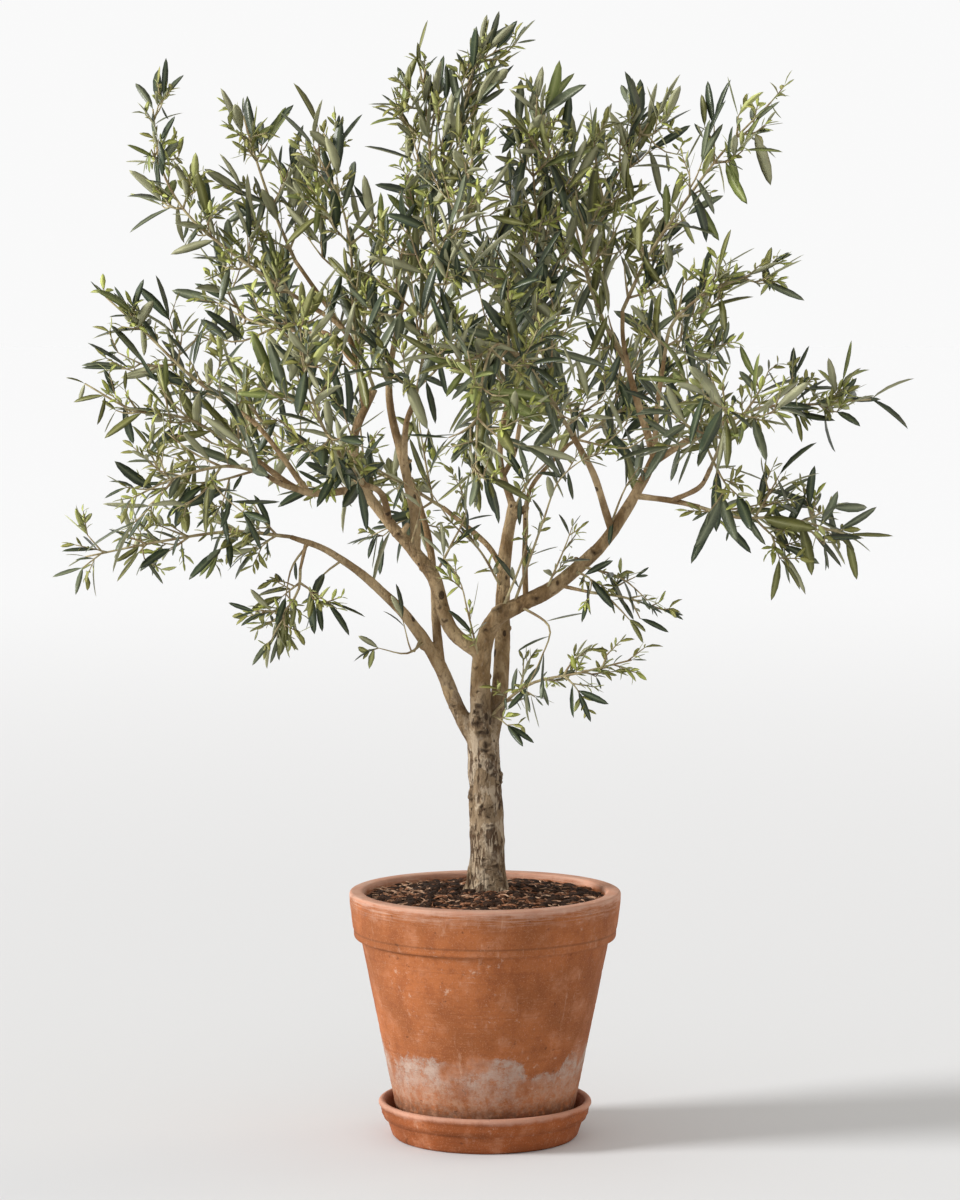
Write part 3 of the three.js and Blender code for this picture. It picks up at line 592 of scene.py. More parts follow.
def thrown(points, z_low, z_high, depth, seed):
    """Hand-thrown clay: slow waves and shallow finger rings between two heights."""
    out = points.copy()
    for k, (x, y, z) in enumerate(points):
        radius = math.hypot(x, y)
        if radius < 1 or z < z_low or z > z_high:
            continue
        slow = noise.noise((x * 0.012, y * 0.012, z * 0.02 + seed)) * depth
        ring = noise.noise((seed, x * 0.002, z * 0.42)) * depth * 0.5
        pit = noise.noise((x * 0.16, y * 0.16, z * 0.16)) * depth * 0.25
        scale = (radius - abs(slow) * 0.5 + min(0, ring) + min(0, pit)) / radius
        out[k, :2] *= scale
    return out


def make_pot():
    wall = [(0, 10.3), (99, 10.3), (102, 14.3), (146.5, 236)]
    band = arc(150.6, 240.5, 4.3, -95, -10, 5)[1:] + [(155.3, 247), (156.2, 250), (159.4, 277)]
    lip = arc(156.2, 287.6, 3.9, -5, 90, 7) + arc(146, 288.5, 3, 90, 180, 5)
    inside = [(134.5, 236), (90, 24.3), (0, 24.3)]
    points, faces = lathe(filled(wall + band + lip + inside, 5), 224)
    shape = Shape()
    shape.add(thrown(points, 16, 290, 1.1, 3.7), faces)
    clay = terracotta("pot_terracotta", (0.325, 0.106, 0.036), bloom_top=0.105, rim_z=0.286)
    return dressed(shape.piece("pot_thrown", [clay]), "terracotta", "pot")


def make_saucer():
    wall = [(0, 0), (107, 0), (110, 3), (115.6, 19.5), (116.6, 21.5)]
    band = [(119.6, 22.5), (121.4, 27), (122.2, 28.2), (121.9, 29.2), (122.9, 31.8), (122.6, 32.8)]
    lip = [(124.6, 37.5)] + arc(121.75, 39.75, 4.2, -12, 180, 11)
    inside = [(103.5, 14), (99.5, 10), (0, 10)]
    points, faces = lathe(filled(wall + band + lip + inside, 5), 192)
    shape = Shape()
    shape.add(thrown(points, 5, 43, 0.7, 9.1), faces)
    clay = terracotta("saucer_terracotta", (0.28, 0.078, 0.023), bloom_top=-0.2, rim_z=0.039)
    return dressed(shape.piece("saucer_thrown", [clay]), "saucer_terracotta", "saucer")


def soil_height(x, y):
    """The compost's surface: highest round the trunk, falling to the rim, lumpy all over."""
    radius = math.hypot(x, y)
    rise = 289.0 - 8.5 * max(0.0, (radius - 40) / 101) ** 1.1
    lumps = noise.noise((x * 0.035, y * 0.035, 1.5)) * 3.0 + noise.noise((x * 0.12, y * 0.12, 5.0)) * 2.4
    crumbs = noise.noise((x * 0.4, y * 0.4, 8.0)) * 0.9
    return rise + (lumps + crumbs) * min(1.0, max(0.15, (150 - radius) / 40))


def make_compost():
    rings, segments = 72, 220
    profile = [(0, 200), (125, 200)] + [(140.5 * (1 - k / rings), 280) for k in range(rings + 1)]
    points, faces = lathe(profile, segments)
    top = points[:, 2] > 250
    for k in np.where(top)[0]:
        points[k, 2] = soil_height(points[k, 0], points[k, 1])
    shape = Shape()
    shape.add(points, faces)
    dark = compost_look("compost", (0.022, 0.01, 0.005), (0.1, 0.05, 0.027))
    return shape.piece("compost_surface", [dark])


def chip_model(name, kind):
    """One bark shaving, crumb or fibre, in metres, lying on the XY plane."""
    shape = Shape()
    if kind == "curl":
        steps = 7
        bend = [(8 * math.sin(t * 3.4), 4.5 * (1 - math.cos(t * 3.4)), 1.6 * math.cos(t * 5))
                for t in np.linspace(-0.5, 0.5, steps)]
        points, faces = tube(bend, [0.3] + [0.75] * (steps - 2) + [0.3], 4)
        points[:, 2] *= 1.3
    elif kind == "fibre":
        bend = [(t * 16, 2.2 * math.sin(t * 5), 0.8 + 0.9 * math.cos(t * 4))
                for t in np.linspace(-0.5, 0.5, 6)]
        points, faces = tube(bend, [0.25] + [0.5] * 4 + [0.25], 4)
    else:
        points, faces = lathe([(0, -1), (1.6, -0.7), (2.1, 0.3), (1.1, 1.3), (0, 1.5)], 6)
        points[:, 0] *= 1.35
    shape.add(points, faces)
    return shape.piece(name, [], smooth=kind != "crumb")


def scatter_tree(model, material, density, size, seed):
    """Copies of a model strewn over a surface, each turned and sized at random, made real."""
    tree = bpy.data.node_groups.new("strewn_" + model.name, "GeometryNodeTree")
    face = tree.interface
    face.new_socket("Geometry", in_out="INPUT", socket_type="NodeSocketGeometry")
    for label, value in (("Density", density), ("Smallest", size[0]), ("Largest", size[1])):
        face.new_socket(label, in_out="INPUT", socket_type="NodeSocketFloat").default_value = value
    face.new_socket("Geometry", in_out="OUTPUT", socket_type="NodeSocketGeometry")

    def node(kind, settings, inputs):
        return add_node(tree, kind, settings, inputs)

    given = node("NodeGroupInput", {}, {}).outputs
    drift = node("ShaderNodeTexNoise", {"noise_dimensions": "4D"}, {
        "W": float(seed), "Scale": 26.0}).outputs[0]
    heap = node("ShaderNodeMapRange", {}, {
        "Value": drift, "From Min": 0.4, "From Max": 0.6, "To Min": 0.2, "To Max": 1.8}).outputs[0]
    amount = node("ShaderNodeMath", {"operation": "MULTIPLY"}, {0: given["Density"], 1: heap}).outputs[0]
    spread = node("GeometryNodeDistributePointsOnFaces", {"distribute_method": "RANDOM"}, {
        "Mesh": given["Geometry"], "Density": amount, "Seed": seed}).outputs
    spin = node("FunctionNodeRandomValue", {"data_type": "FLOAT_VECTOR"}, {
        0: (-0.4, -0.4, 0.0), 1: (0.4, 0.4, 6.28), "Seed": seed + 1}).outputs[0]
    scale = node("FunctionNodeRandomValue", {"data_type": "FLOAT"}, {
        2: given["Smallest"], 3: given["Largest"], "Seed": seed + 2}).outputs[1]
    copy = node("GeometryNodeObjectInfo", {"transform_space": "ORIGINAL"}, {"Object": model})
    strewn = node("GeometryNodeInstanceOnPoints", {}, {
        "Points": spread["Points"], "Instance": copy.outputs["Geometry"],
        "Rotation": spin, "Scale": scale}).outputs[0]
    real = node("GeometryNodeRealizeInstances", {}, {0: strewn}).outputs[0]
    painted = node("GeometryNodeSetMaterial", {}, {"Geometry": real, "Material": material}).outputs[0]
    node("NodeGroupOutput", {}, {0: painted})
    return tree


def strewn(name, surface, kind, material, density, size, seed):
    """A plain mesh of chips strewn over the compost."""
    model = chip_model(name + "_model", kind)
    carrier = new_object(name, surface.data.copy())
    modifier = carrier.modifiers.new("strewn", "NODES")
    modifier.node_group = scatter_tree(model, material, density, size, seed)
    applied(carrier)
    bpy.data.objects.remove(model)
    return carrier


def make_soil_surface():
    compost = make_compost()
    ring = new_object("strewing_ground", compost.data.copy())
    keep_top(ring.data)
    looks = {
        "pale": compost_look("pale_bark_shavings", (0.25, 0.13, 0.076), (0.52, 0.34, 0.23), 120),
        "brown": compost_look("brown_bark_chips", (0.11, 0.043, 0.02), (0.3, 0.14, 0.075), 120),
        "dark": compost_look("dark_crumbs", (0.014, 0.007, 0.004), (0.055, 0.025, 0.013), 200),
    }
    plan = [("bark_curls", "curl", "pale", 7600, (0.5, 1.3), 11),
            ("brown_chips", "curl", "brown", 8000, (0.6, 1.5), 23),
            ("wood_fibres", "fibre", "pale", 6500, (0.6, 1.6), 37),
            ("compost_crumbs", "crumb", "dark", 26000, (0.8, 3.2), 41),
            ("bark_crumbs", "crumb", "brown", 7000, (0.6, 2.4), 53)]
    for name, kind, look, density, size, seed in plan:
        dressed(strewn(name, ring, kind, looks[look], density, size, seed), "compost")
    bpy.data.objects.remove(ring)
    return dressed(compost, "compost", "soil")


def keep_top(mesh):
    """Leaves only the faces of the compost's open surface, clear of the trunk and the pot's wall."""
    work = bmesh.new()
    work.from_mesh(mesh)
    middles = [(face, face.calc_center_median()) for face in work.faces]
    gone = [face for face, middle in middles
            if middle.z < 0.26 or not 0.022 < math.hypot(middle.x, middle.y) < 0.137]
    bmesh.ops.delete(work, geom=gone, context="FACES")
    work.to_mesh(mesh)
    work.free()


# ---- Bark ---------------------------------------------------------------------------------------

FUSED = ["limb_right", "limb_left", "limb_back", "bough_left", "bough_leader"]  # grown into one skin
# knots left by lost shoots: place, size across, height of the rim raised round it
SCARS = [
    ((1, -19, 459), 5, 1.8), ((-8, -17, 448), 3.5, 1.2), ((6, -18, 440), 4.5, 1.4), ((-2, -19, 393), 4,
    1.5), ((3, -19, 380), 3, 1.0), ((7, -18, 370), 3.5, 1.2), ((-5, -19, 357), 3, 1.0), ((-1, -20, 330),
    3.5, 1.2), ((15, -15, 321), 4.5, 1.4), ((-3, -27, 300), 8, 1.2), ((-19, -8, 406), 6, 2.4),
    ((19, -4, 424), 8, 2.8), ((-8, -18, 512), 6, 1.6), ((-7, -18, 497), 5, 1.8), ((-5, -18, 480), 6, 1.8),
    ((-38, -8, 509), 5, 1.8), ((-59, -8, 578), 4, 1.6), ((-47, -8, 548), 4, 1.6), ((-24, -8, 524), 3.5,
    1.2), ((-51, -16, 628), 4, 1.4), ((-46, -16, 612), 4, 1.4), ((-32, -14, 593), 3.5, 1.2),
    ((15, -16, 625), 7, 2.2), ((2, -19, 600), 4, 1.2), ((-12, -18, 556), 4, 1.2), ((-9, -18, 528), 4,
    1.2), ((15, -6, 513), 4, 1.4), ((14, 0, 545), 7, 2.2), ((-66, -14, 672), 5, 2.0), ((-100, -14, 712),
    5, 1.8), ((60, -22, 640), 5, 1.8), ((128, -26, 693), 5, 1.8), ((-12, -17, 503), 5, 1.4),
    ((-8, -18, 490), 6, 1.6), ((-3, -18, 478), 6, 1.6), ((2, -18, 466), 6, 1.6), ((7, -17, 452), 5, 1.4),
    ((9, -17, 428), 5, 1.4), ((12, 19, 430), 6, 1.8), ((-14, 14, 372), 6, 1.8), ((24, 30, 600), 5, 1.8),
    ((2, 21, 340), 5, 1.4),
]
# a thinner limb that rises close behind the left bough: parent, share of its length, radii, knots
RISER = ("limb_left", 0.3, (6.2, 3.4), [(-57, 16, 600), (-60, 32, 650), (-68, 42, 710), (-88, 46, 776)])
# cut stubs: limb, share of its length, direction, length, radius
STUBS = [
    ("limb_back", 0.93, (0.75, -0.3, 0.55), 26, 4.2), ("bough_left", 0.47, (0.5, -0.4, 0.75), 20, 3.4),
    ("limb_left", 0.36, (-0.8, -0.3, 0.35), 15, 3.0), ("limb_right", 0.62, (-0.4, -0.5, 0.75), 14, 3.0),
    ("limb_left", 0.2, (-0.9, -0.2, 0.2), 10, 3.2), ("bough_leader", 0.35, (0.8, -0.3, 0.4), 12, 2.4),
]


def bole_radii(shares):
    """The trunk's radius at shares of its length, without its buttresses."""
    return TRUNK["base"] + (TRUNK["top"] - TRUNK["base"]) * np.minimum(1, shares / 0.88)


def add_trunk(shape):
    path = PATHS["trunk"]
    shares = np.concatenate([np.linspace(0, 0.9, 64), [0.94, 0.97, 1.0]])
    radii = bole_radii(shares) * np.where(shares > 0.91, 1 - 0.4 * ((shares - 0.9) / 0.1) ** 1.5, 1)
    reach = shares * path.length - 8.5

    def ripple(k, angles):
        spread = TRUNK["flare"] * math.exp(-2 * max(0, reach[k]) / TRUNK["flare_height"])
        lobes = 0.6 + 0.4 * np.cos(TRUNK["buttresses"] * angles + 0.5)
        flutes = 0.5 * np.cos(3 * angles + reach[k] * 0.012) + 0.35 * np.cos(7 * angles - reach[k] * 0.02)
        return (radii[k] + spread * lobes + flutes) / radii[k]

    points, faces = tube(path.at(shares), radii, 48, ripple)
    points[:, 2] = np.maximum(points[:, 2], 284)
    shape.add(points, faces)


def limb_points(name, step):
    """A limb's middle line and radii. Its line wanders slightly and it swells at its nodes."""
    path, (low, high) = PATHS[name], LIMBS[name][2]
    count = max(6, round(path.length / step))
    shares = np.linspace(0, 1, count + 1)
    seed = 1 + list(LIMBS).index(name)
    radii = low + (high - low) * shares
    swell = np.array([noise.noise((s * path.length / 26, seed * 3.1, 0.5)) for s in shares])
    points = path.at(shares)
    for k, s in enumerate(shares):
        fade = min(1, s * 4, (1 - s) * 6)
        wander = noise.noise_vector((s * path.length / 42, seed * 7.7, 0.3))
        points[k] += np.array(wander) * 0.16 * radii[k] * fade
    return points, radii * (1 + 0.09 * swell)


def bark_relief(mesh, samples, strength):
    """Cracks, lumps and scars cut into a bark skin; leaves its girth and cracks as marks on it."""
    scars = [(np.array(place, float), size * 1.25, height) for place, size, height in SCARS]
    tree = kdtree.KDTree(len(samples))
    for k, (place, _) in enumerate(samples):
        tree.insert(place, k)
    tree.balance()
    points, out = coordinates(mesh), normals(mesh)
    girth, crack = np.zeros(len(points)), np.zeros(len(points))
    for k, p in enumerate(points):
        girth[k] = samples[tree.find(p)[1]][1]
        x, y, z = p * 1000
        coarse = noise.noise((x * 0.11, y * 0.11, z * 0.022))
        fine = noise.noise((x * 0.42 + 9, y * 0.42, z * 0.1))
        split = max(0, 1 - abs(coarse) / 0.07) * 0.9 + max(0, 1 - abs(fine) / 0.1) * 0.4
        patch = 0.45 + 1.1 * noise.noise((x * 0.03, y * 0.03, z * 0.02 + 4))
        crack[k] = min(1, split * max(0, min(1, patch * 1.5))) * min(1, girth[k] / 0.014)
        lump = noise.noise((x * 0.05, y * 0.05, z * 0.04)) * 0.075
        lump += noise.noise((x * 0.2, y * 0.2, z * 0.09)) * 0.04
        push = girth[k] * (lump - crack[k] * 0.05 * strength)
        here = np.array((x, y, z))
        warp = np.array(noise.noise_vector((x * 0.2, y * 0.2, z * 0.13))) * 4.5
        for place, size, height in scars:
            if abs(z - place[2]) > size * 2.4:
                continue
            offset = here + warp * min(1, size / 6) - place
            away = math.hypot(*(offset * (1, 1, 0.7 + size % 1.3))) / size
            if away < 2:
                rim = math.exp(-((away - 0.9) ** 2) * 6) * 0.9
                push += MM * height * (rim - math.exp(-away * away * 5) * 1.0)
                crack[k] = max(crack[k], math.exp(-away ** 3 * 3.0))
        points[k] += out[k] * push
    mesh.vertices.foreach_set("co", points.astype(np.float32).ravel())
    add_mark(mesh, "girth", girth)
    add_mark(mesh, "crack", crack)
    mesh.update()


def add_riser(skin, samples):
    """The thinner limb behind the left bough."""
    parent, share, (low, high), knots = RISER
    run = Path(spline([PATHS[parent].at(share)] + knots)).spaced(26)
    samples += [(p * MM, low * MM) for p in run]
    skin.add(*tube(run, np.linspace(low, high, 27), 14))


def add_stub(skin, samples, name, share, direction, length, radius):
    """The end that is left of a cut shoot."""
    foot = PATHS[name].at(share)
    run = [foot + unit(np.array(direction)) * length * t for t in (0, 0.3, 0.6, 0.9, 1.0)]
    samples += [(p * MM, radius * MM) for p in run[1:]]
    skin.add(*tube(run, [radius * s for s in (1.5, 1.2, 1.0, 1.05, 0.8)], 10))


def make_wood():
    """The trunk and the main limbs as one skin, and the thinner boughs as limbs of their own."""
    skin, boughs = Shape(), Shape()
    samples = [(p * MM, 0.02) for p in PATHS["trunk"].spaced(40)]  # the wood's middle lines and radii
    add_trunk(skin)
    for name in LIMBS:
        points, radii = limb_points(name, 7)
        samples += [(p * MM, r * MM) for p, r in zip(points, radii)]
        if name in FUSED:
            skin.add(*tube(points, radii, 14))
        else:
            boughs.add(*tube(points, radii, 12))
    add_riser(skin, samples)
    for stub in STUBS:
        add_stub(skin, samples, *stub)
    bark = bark_look()
    trunk = skin.piece("trunk_and_limbs", [bark])
    remesh = trunk.modifiers.new("grown_together", "REMESH")
    remesh.mode, remesh.voxel_size, remesh.use_smooth_shade = "VOXEL", 0.0014, True
    ease = trunk.modifiers.new("eased", "SMOOTH")
    ease.factor, ease.iterations = 0.5, 4
    applied(trunk)
    bark_relief(trunk.data, samples, 1.0)
    thin = boughs.piece("boughs", [bark])
    bark_relief(thin.data, samples, 0.6)
    dressed(trunk, "bark", "trunk", *FUSED)
    dressed(thin, "bough_bark", *[name for name in LIMBS if name not in FUSED])


# ---- Foliage ------------------------------------------------------------------------------------

STEM_POINTS = np.array([stem.spaced(12) for stem in STEMS.values()])
LIMB_POINTS = np.vstack([PATHS[name].spaced(40) for name in LIMBS])
LIMB_RADII = np.concatenate([np.linspace(*LIMBS[name][2], 41) for name in LIMBS])


def is_own(mass, point):
    """Whether a point is nearer to its own mass's stem than to any other."""
    away = np.linalg.norm(STEM_POINTS - point, axis=2).min(axis=1)
    own = away[mass]
    away[mass] = 1e9
    return away.min() > own + GROWTH["clear_of_masses"]


def fullness(stem):
    """How closely a mass's twigs follow each other: the crown is closer in its middle than at its ends."""
    outwards = min(1, math.hypot(*stem.at(0.5)[:2]) / GROWTH["crown_reach"])
    return GROWTH["inner_fullness"] + (GROWTH["outer_fullness"] - GROWTH["inner_fullness"]) * outwards


def clear_of_limbs(point, half):
    away = np.linalg.norm(LIMB_POINTS - point, axis=1) - LIMB_RADII
    return away.min() > half + GROWTH["clear_of_limbs"]


# share of the length, share of the width: a grown leaf is long and blunt, a tender one simpler
GROWN = [(0.06, 0.18), (0.19, 0.64), (0.43, 1.0), (0.69, 0.94), (0.89, 0.56)]
TENDER = [(0.16, 0.5), (0.5, 1.0), (0.82, 0.66)]


SUN = np.array((-0.15, -0.35, 0.9))


def leaf_faces(rings):
    """Faces and slots of one leaf: rings of left, midrib, right, keel between its foot and its tip."""
    faces, slots, last = [], [], rings - 1
    foot, tip = 4 * rings, 4 * rings + 1
    for k in range(rings):
        left, rib, right, keel = (4 * k + j for j in range(4))
        if k == 0:
            faces += [[foot, rib, left], [foot, right, rib], [foot, keel, right], [foot, left, keel]]
            slots += [0, 0, 1, 1]
        if k == last:
            faces += [[tip, left, rib], [tip, rib, right], [tip, right, keel], [tip, keel, left]]
            slots += [0, 0, 1, 1]
        else:
            faces += [[left, rib, rib + 4, left + 4], [rib, right, right + 4, rib + 4],
                      [right, keel, keel + 4, right + 4], [keel, left, left + 4, keel + 4]]
            slots += [0, 0, 1, 1]
    return faces, slots, np.array([0, 1, 0, 1] * rings + [1, 1], float)


LEAF_FACES = {len(stations): leaf_faces(len(stations)) for stations in (GROWN, TENDER)}


def leaf_points(stations, root, ahead, face, length, width, fold, droop, swerve):
    """A lance-shaped leaf: folded up along its midrib, bent down and aside, a real thickness through."""
    across = unit(np.cross(ahead, face))
    up = np.cross(across, ahead)
    bend = (across * swerve - up * droop) * length
    out, thick = [], max(0.34, length / 110)
    for s, w in stations:
        half = width / 2 * w
        middle = root + ahead * length * s + bend * s * s
        edge = up * half * fold
        out += [middle - across * half + edge, middle + up * thick / 2, middle + across * half + edge,
                middle - up * thick / 2]
    return np.array(out + [root - ahead * 1.2, root + ahead * length + bend])


def add_leaf(shape, root, ahead, rng, size, stations, wide):
    """One leaf in its spray's tint, its blade turned mostly to the sun."""
    face = SUN + np.array([rng.uniform(-1, 1) for _ in range(3)]) * 0.8
    face = face - ahead * face.dot(ahead)
    if np.linalg.norm(face) < 0.1:
        return
    width = size * GROWTH["leaf_width"] * wide * rng.uniform(0.85, 1.15)
    curl = 2.4 if stations is TENDER else 1
    shape.add(leaf_points(stations, root, ahead, unit(face), size, width, rng.uniform(0.1, 0.5),
                          rng.uniform(-0.1, 0.22) * curl, rng.uniform(-0.12, 0.12) * curl),
              *LEAF_FACES[len(stations)])


def stray(rng, widening):
    """A random change of angle, wider with each try."""
    return math.radians(GROWTH["wander"]) * widening * rng.uniform(-0.5, 0.5)


def pick_tint(rng, lift):
    """Sprays at the crown's top and ends are more often young growth."""
    roll = rng.random()
    if roll < 0.05 + 0.1 * lift:
        return "young"
    return "dark" if roll < 0.55 else "grey" if roll < 0.78 else "olive"


# the colours of a leaf's face and of its veins, and its roughness
TINTS = {
    "dark": ((0.035, 0.052, 0.028), (0.15, 0.172, 0.088), 0.3),
    "grey": ((0.105, 0.126, 0.074), (0.29, 0.31, 0.19), 0.33),
    "olive": ((0.135, 0.138, 0.037), (0.32, 0.32, 0.125), 0.38),
    "young": ((0.17, 0.205, 0.055), (0.36, 0.38, 0.15), 0.42),
    "tender": ((0.235, 0.232, 0.06), (0.4, 0.38, 0.14), 0.45),
    "tender_yellow": ((0.37, 0.41, 0.085), (0.5, 0.5, 0.2), 0.45),
}


class Crown:
    """All the growing foliage: its leaves by tint, and its twigs."""

    def __init__(self):
        self.sprays = {tint: Shape() for tint in TINTS}
        self.twigs = Shape()

    def twig(self, points, radii, sides):
        self.twigs.add(*tube(points, radii, sides))

    def fits(self, mass, root, ahead, length):
        return all((mass is None or is_own(mass, root + ahead * length * s))
                   and clear_of_limbs(root + ahead * length * s, 2) for s in (0.45, 1.0))

    def leaf(self, mass, root, axis, angle, turn, tint, rng, size, wide=1.0):
        stations = TENDER if tint.startswith("tender") else GROWN
        hangs = GROWTH["hanging"] if stations is GROWN else 0
        for attempt in range(GROWTH["tries"]):
            wide_by = 1 + attempt / 2
            ahead = turned(axis, math.radians(angle) + stray(rng, wide_by), turn + stray(rng, wide_by))
            if rng.random() < hangs:
                ahead = unit(ahead * 0.5 + np.array((0, 0, -1.0)))
            if self.fits(mass, root, ahead, size):
                add_leaf(self.sprays[tint], root, ahead, rng, size, stations, wide)
                return

    def sprig(self, mass, root, axis, turn, rng):
        """A short new shoot in a leaf's axil, with pairs of very small leaves up to its tip."""
        ahead = unit(turned(axis, math.radians(rng.uniform(25, 60)), turn) + np.array((0, 0, 0.25)))
        length = rng.uniform(*GROWTH["sprig"])
        if not self.fits(mass, root, ahead, length + 6):
            return
        self.twig([root, root + ahead * length * 0.5, root + ahead * length], (0.9, 0.75, 0.6), 4)
        tint = "tender_yellow" if rng.random() < 0.4 else "tender"
        pairs = 1 + round(length / 11)
        for k in range(pairs):
            place = root + ahead * length * (k + 1) / pairs
            for side in (0, math.pi):
                self.leaf(mass, place, ahead, 48 - 18 * k / pairs, turn + k * 1.57 + side, tint, rng,
                          rng.uniform(*GROWTH["tender"]), 1.75)

    def dress(self, mass, path, tint, rng, first, scale=1.0, leafy=1.0):
        """Leaves in opposite pairs along a twig, each pair a quarter turn on, with sprigs between."""
        turn = rng.uniform(0, math.pi)
        along = first
        while along < path.length - 3:
            share = along / path.length
            place, axis = path.at(share), path.heading(share)
            fade = scale * (1 - 0.4 * max(0, share - 0.6) / 0.4)
            for side in (0, math.pi):
                roll = rng.random() / (leafy * (1 - 0.35 * share ** 2)) - GROWTH["full_share"]
                if roll < GROWTH["half_share"]:
                    size = rng.uniform(*GROWTH["leaf" if roll < 0 else "half_leaf"]) * fade
                    self.leaf(mass, place, axis, GROWTH["leaf_angle"], turn + side, tint, rng, size)
            if rng.random() < GROWTH["sprig_share"] * leafy:
                self.sprig(mass, place, axis, turn + rng.choice((0, math.pi)), rng)
            turn += math.pi / 2
            along += GROWTH["leaf_step"] * rng.uniform(0.8, 1.25)
        end, axis = path.at(1), path.heading(1)
        kind = "leaf" if rng.random() < GROWTH["long_tips"] else "half_leaf"
        size = rng.uniform(*GROWTH[kind]) * scale * 0.9
        for side in (0, math.pi):
            self.leaf(mass, end, axis, 24, turn + side, tint, rng, size)
        if rng.random() < GROWTH["sprig_tips"]:
            self.sprig(mass, end, axis, turn, rng)

    def grow(self, name, mass):
        on, spread, _ = MASSES[name]
        stem = STEMS[name]
        full = fullness(stem)
        rng = random.Random(mass * 7919 + 11)
        small = min(1.0, max(0.62, spread / 110))
        lift = (stem.at(1)[2] - 600) / 700
        shares = np.linspace(0, 1, max(4, round(stem.length / 12)) + 1)
        low = min(2.3, LIMBS[on][2][1]) if on in LIMBS else 2.2
        self.twig(stem.at(shares), low + (1.0 - low) * shares, 8)
        self.dress(mass, stem, pick_tint(rng, lift), rng, 34, small)
        along, turn = GROWTH["first_twigs"], rng.uniform(0, math.pi)
        while along < stem.length - 6:
            share = along / stem.length
            for side in (0, math.pi):
                self.shoot(mass, stem, share, turn + side, spread, small, lift, rng)
            turn += math.pi / 2
            along += GROWTH["twig_step"] * small / full * rng.uniform(0.85, 1.15)

    def shoot(self, mass, parent, share, turn, spread, small, lift, rng, order=1):
        """A side twig that turns up along its length, with its leaves and its own smaller twigs."""
        taper = 1 - 0.6 * share ** 2
        full = (spread * taper * rng.uniform(0.6, 1.0) - 30 * small) * (1 if order == 1 else 0.55)
        root = parent.at(share)
        rise = min(0.55, max(-0.3, (root[2] - 690) / 450))
        for attempt in range(GROWTH["tries"]):
            angle = math.radians(GROWTH["twig_angle"]) + stray(rng, 1 + attempt)
            ahead = turned(parent.heading(share), angle, turn + stray(rng, 1 + attempt))
            reach = full * (1 - 0.16 * attempt)
            if reach < 12:
                return
            middle = root + ahead * reach * 0.5
            tip = middle + unit(ahead + np.array((0, 0, rise))) * reach * 0.5
            path = Path(spline([root, middle, tip], 8))
            if all(is_own(mass, path.at(s)) and clear_of_limbs(path.at(s), 1) for s in (0.55, 1.0)):
                break
        else:
            return
        count = max(3, round(path.length / 14))
        thick = 1.7 if order == 1 else 1.25
        self.twig(path.spaced(count), np.linspace(thick, 0.7, count + 1), 5)
        tint = pick_tint(rng, lift)
        self.dress(mass, path, tint, rng, GROWTH["first_leaves"], small)
        if order == 1 and spread > 80:
            for share in (0.3, 0.6):
                if rng.random() < GROWTH["second_twigs"]:
                    self.shoot(mass, path, share, rng.uniform(0, 6.28), spread, small, lift, rng, 2)

    def water_shoot(self, limb, share, leafy, knots, rng):
        """A thin shoot straight from a limb, with leaves of every age."""
        path = Path(spline([PATHS[limb].at(share)] + knots, 8))
        count = max(4, round(path.length / 10))
        self.twig(path.spaced(count), np.linspace(1.8, 0.6, count + 1), 6)
        self.dress(None, path, "dark", rng, 26, 0.7, leafy)


def make_foliage():
    crown = Crown()
    for mass, name in enumerate(MASSES):
        crown.grow(name, mass)
    for k, (limb, share, leafy, knots) in enumerate(SHOOTS):
        crown.water_shoot(limb, share, leafy, knots, random.Random(k * 101 + 5))
    under = leaf_look("leaf_underside", (0.31, 0.31, 0.18), (0.42, 0.42, 0.25), 0.55)
    fresh_under = leaf_look("leaf_fresh_underside", (0.35, 0.37, 0.13), (0.46, 0.47, 0.18), 0.5)
    for tint, shape in crown.sprays.items():
        face = leaf_look("leaf_" + tint, *TINTS[tint])
        back = under if tint in ("dark", "grey", "olive") else fresh_under
        dressed(shape.piece("leaves_" + tint, [face, back], "rib"), "foliage", *MASSES)
    dressed(crown.twigs.piece("twigs", [twig_look()]), "bough_bark", *MASSES)


# ---- Camera, light and floor --------------------------------------------------------------------


def add_light(name, source, strength, softness, colour):
    """Even light from a wide soft source far away in the given direction."""
    light = bpy.data.lights.new(name, "SUN")
    light.energy, light.angle, light.color = strength, math.radians(softness), colour
    stand = new_object(name, light)
    stand.location = source
    stand.rotation_euler = Vector(source).to_track_quat("Z", "Y").to_euler()


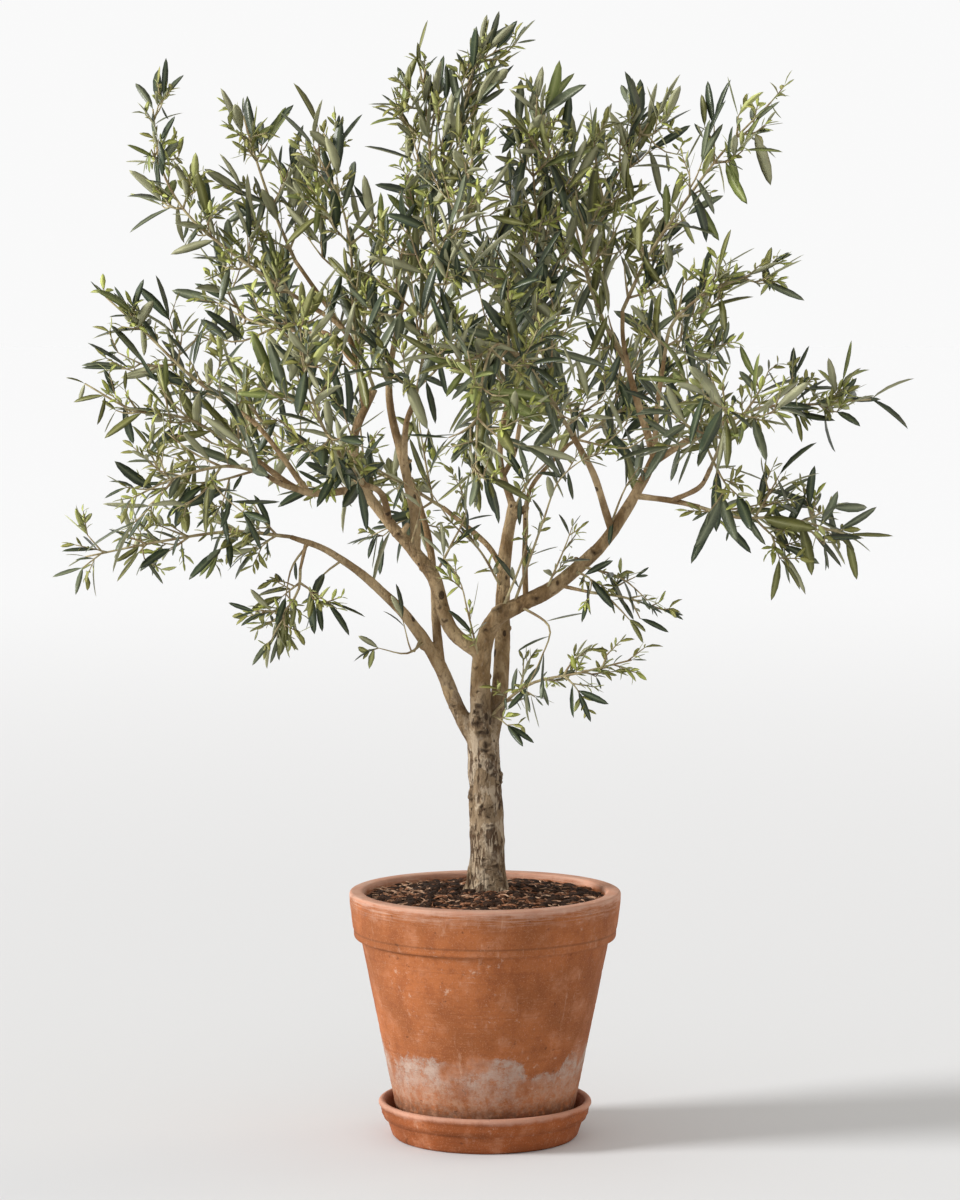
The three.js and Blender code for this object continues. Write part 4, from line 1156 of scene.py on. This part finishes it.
def make_floor():
    """A pale floor that runs on into the pale room without an edge: further out it glows, painted light
    that meets the room's light.
    """
    look = Look("pale_floor_with_painted_glow", Emission_Strength=1.0, Specular_IOR_Level=0.0)
    away = look.node("ShaderNodeVectorMath", {"operation": "LENGTH"}, {0: look.place}, "Value")
    tone = look.blend(away.ramp(0.9, 9.0), rgb(0.715, 0.733, 0.762), rgb(0.68, 0.69, 0.705))
    # painted light: the floor glows more with distance though it is no lamp, so it meets the room without
    # an edge
    look.feed("Emission Color", look.blend(away.ramp(0.9, 9.0), rgb(0, 0, 0), rgb(0.174, 0.187, 0.206)))
    floor = Shape()
    reach, height = 60000, -0.6
    corners = [(x * reach, y * reach, height) for x, y in ((-1, -1), (1, -1), (1, 1), (-1, 1))]
    floor.add(corners, [[0, 1, 2, 3]])
    floor.piece("floor", [look.finish(tone, 0.9 + look.noise(3) * 0.05)])


def make_room():
    """A soft white room, a little darker and warmer overhead."""
    world = bpy.data.worlds.new("soft_room")
    world.use_nodes = True
    tree = world.node_tree
    heading = add_node(tree, "ShaderNodeTexCoord", {}, {}).outputs["Generated"]
    height = add_node(tree, "ShaderNodeSeparateXYZ", {}, {0: heading}).outputs["Z"]
    steep = add_node(tree, "ShaderNodeMath", {"operation": "ABSOLUTE"}, {0: height}).outputs[0]
    overhead = add_node(tree, "ShaderNodeMapRange", {"interpolation_type": "SMOOTHSTEP"}, {
        "Value": steep, "From Min": 0.2, "From Max": 0.6}).outputs[0]
    shade = add_node(tree, "ShaderNodeMix", {"data_type": "RGBA"}, {
        "Factor": overhead, 6: rgb(0.95, 0.95, 0.95), 7: rgb(0.6, 0.575, 0.54)}).outputs[2]
    tree.links.new(shade, tree.nodes["Background"].inputs["Color"])
    return world


def make_studio():
    camera = bpy.data.cameras.new("camera")
    camera.sensor_fit, camera.sensor_height, camera.lens = "VERTICAL", 36.0, 115.7
    camera.clip_end = 150
    holder = new_object("camera", camera)
    holder.location = (-0.006, -4.5, 1.0)
    holder.rotation_euler = (math.radians(90 - 4.647), 0, 0)
    bpy.context.scene.camera = holder
    bpy.context.scene.view_settings.view_transform = "Standard"
    add_light("window_side", (-4.4, -1.05, 1.6), 4.05, 18, (1, 0.985, 0.96))
    add_light("front", (0.8, -4.6, 1.9), 0.13, 25, (1, 0.95, 0.88))
    add_light("far_side", (3.6, 1.8, 1.5), 0.33, 25, (1, 0.8, 0.56))
    bpy.context.scene.world = make_room()
    make_floor()


make_studio()
make_pot()
make_saucer()
make_soil_surface()
make_wood()
make_foliage()

bpy.context.view_layer.update()
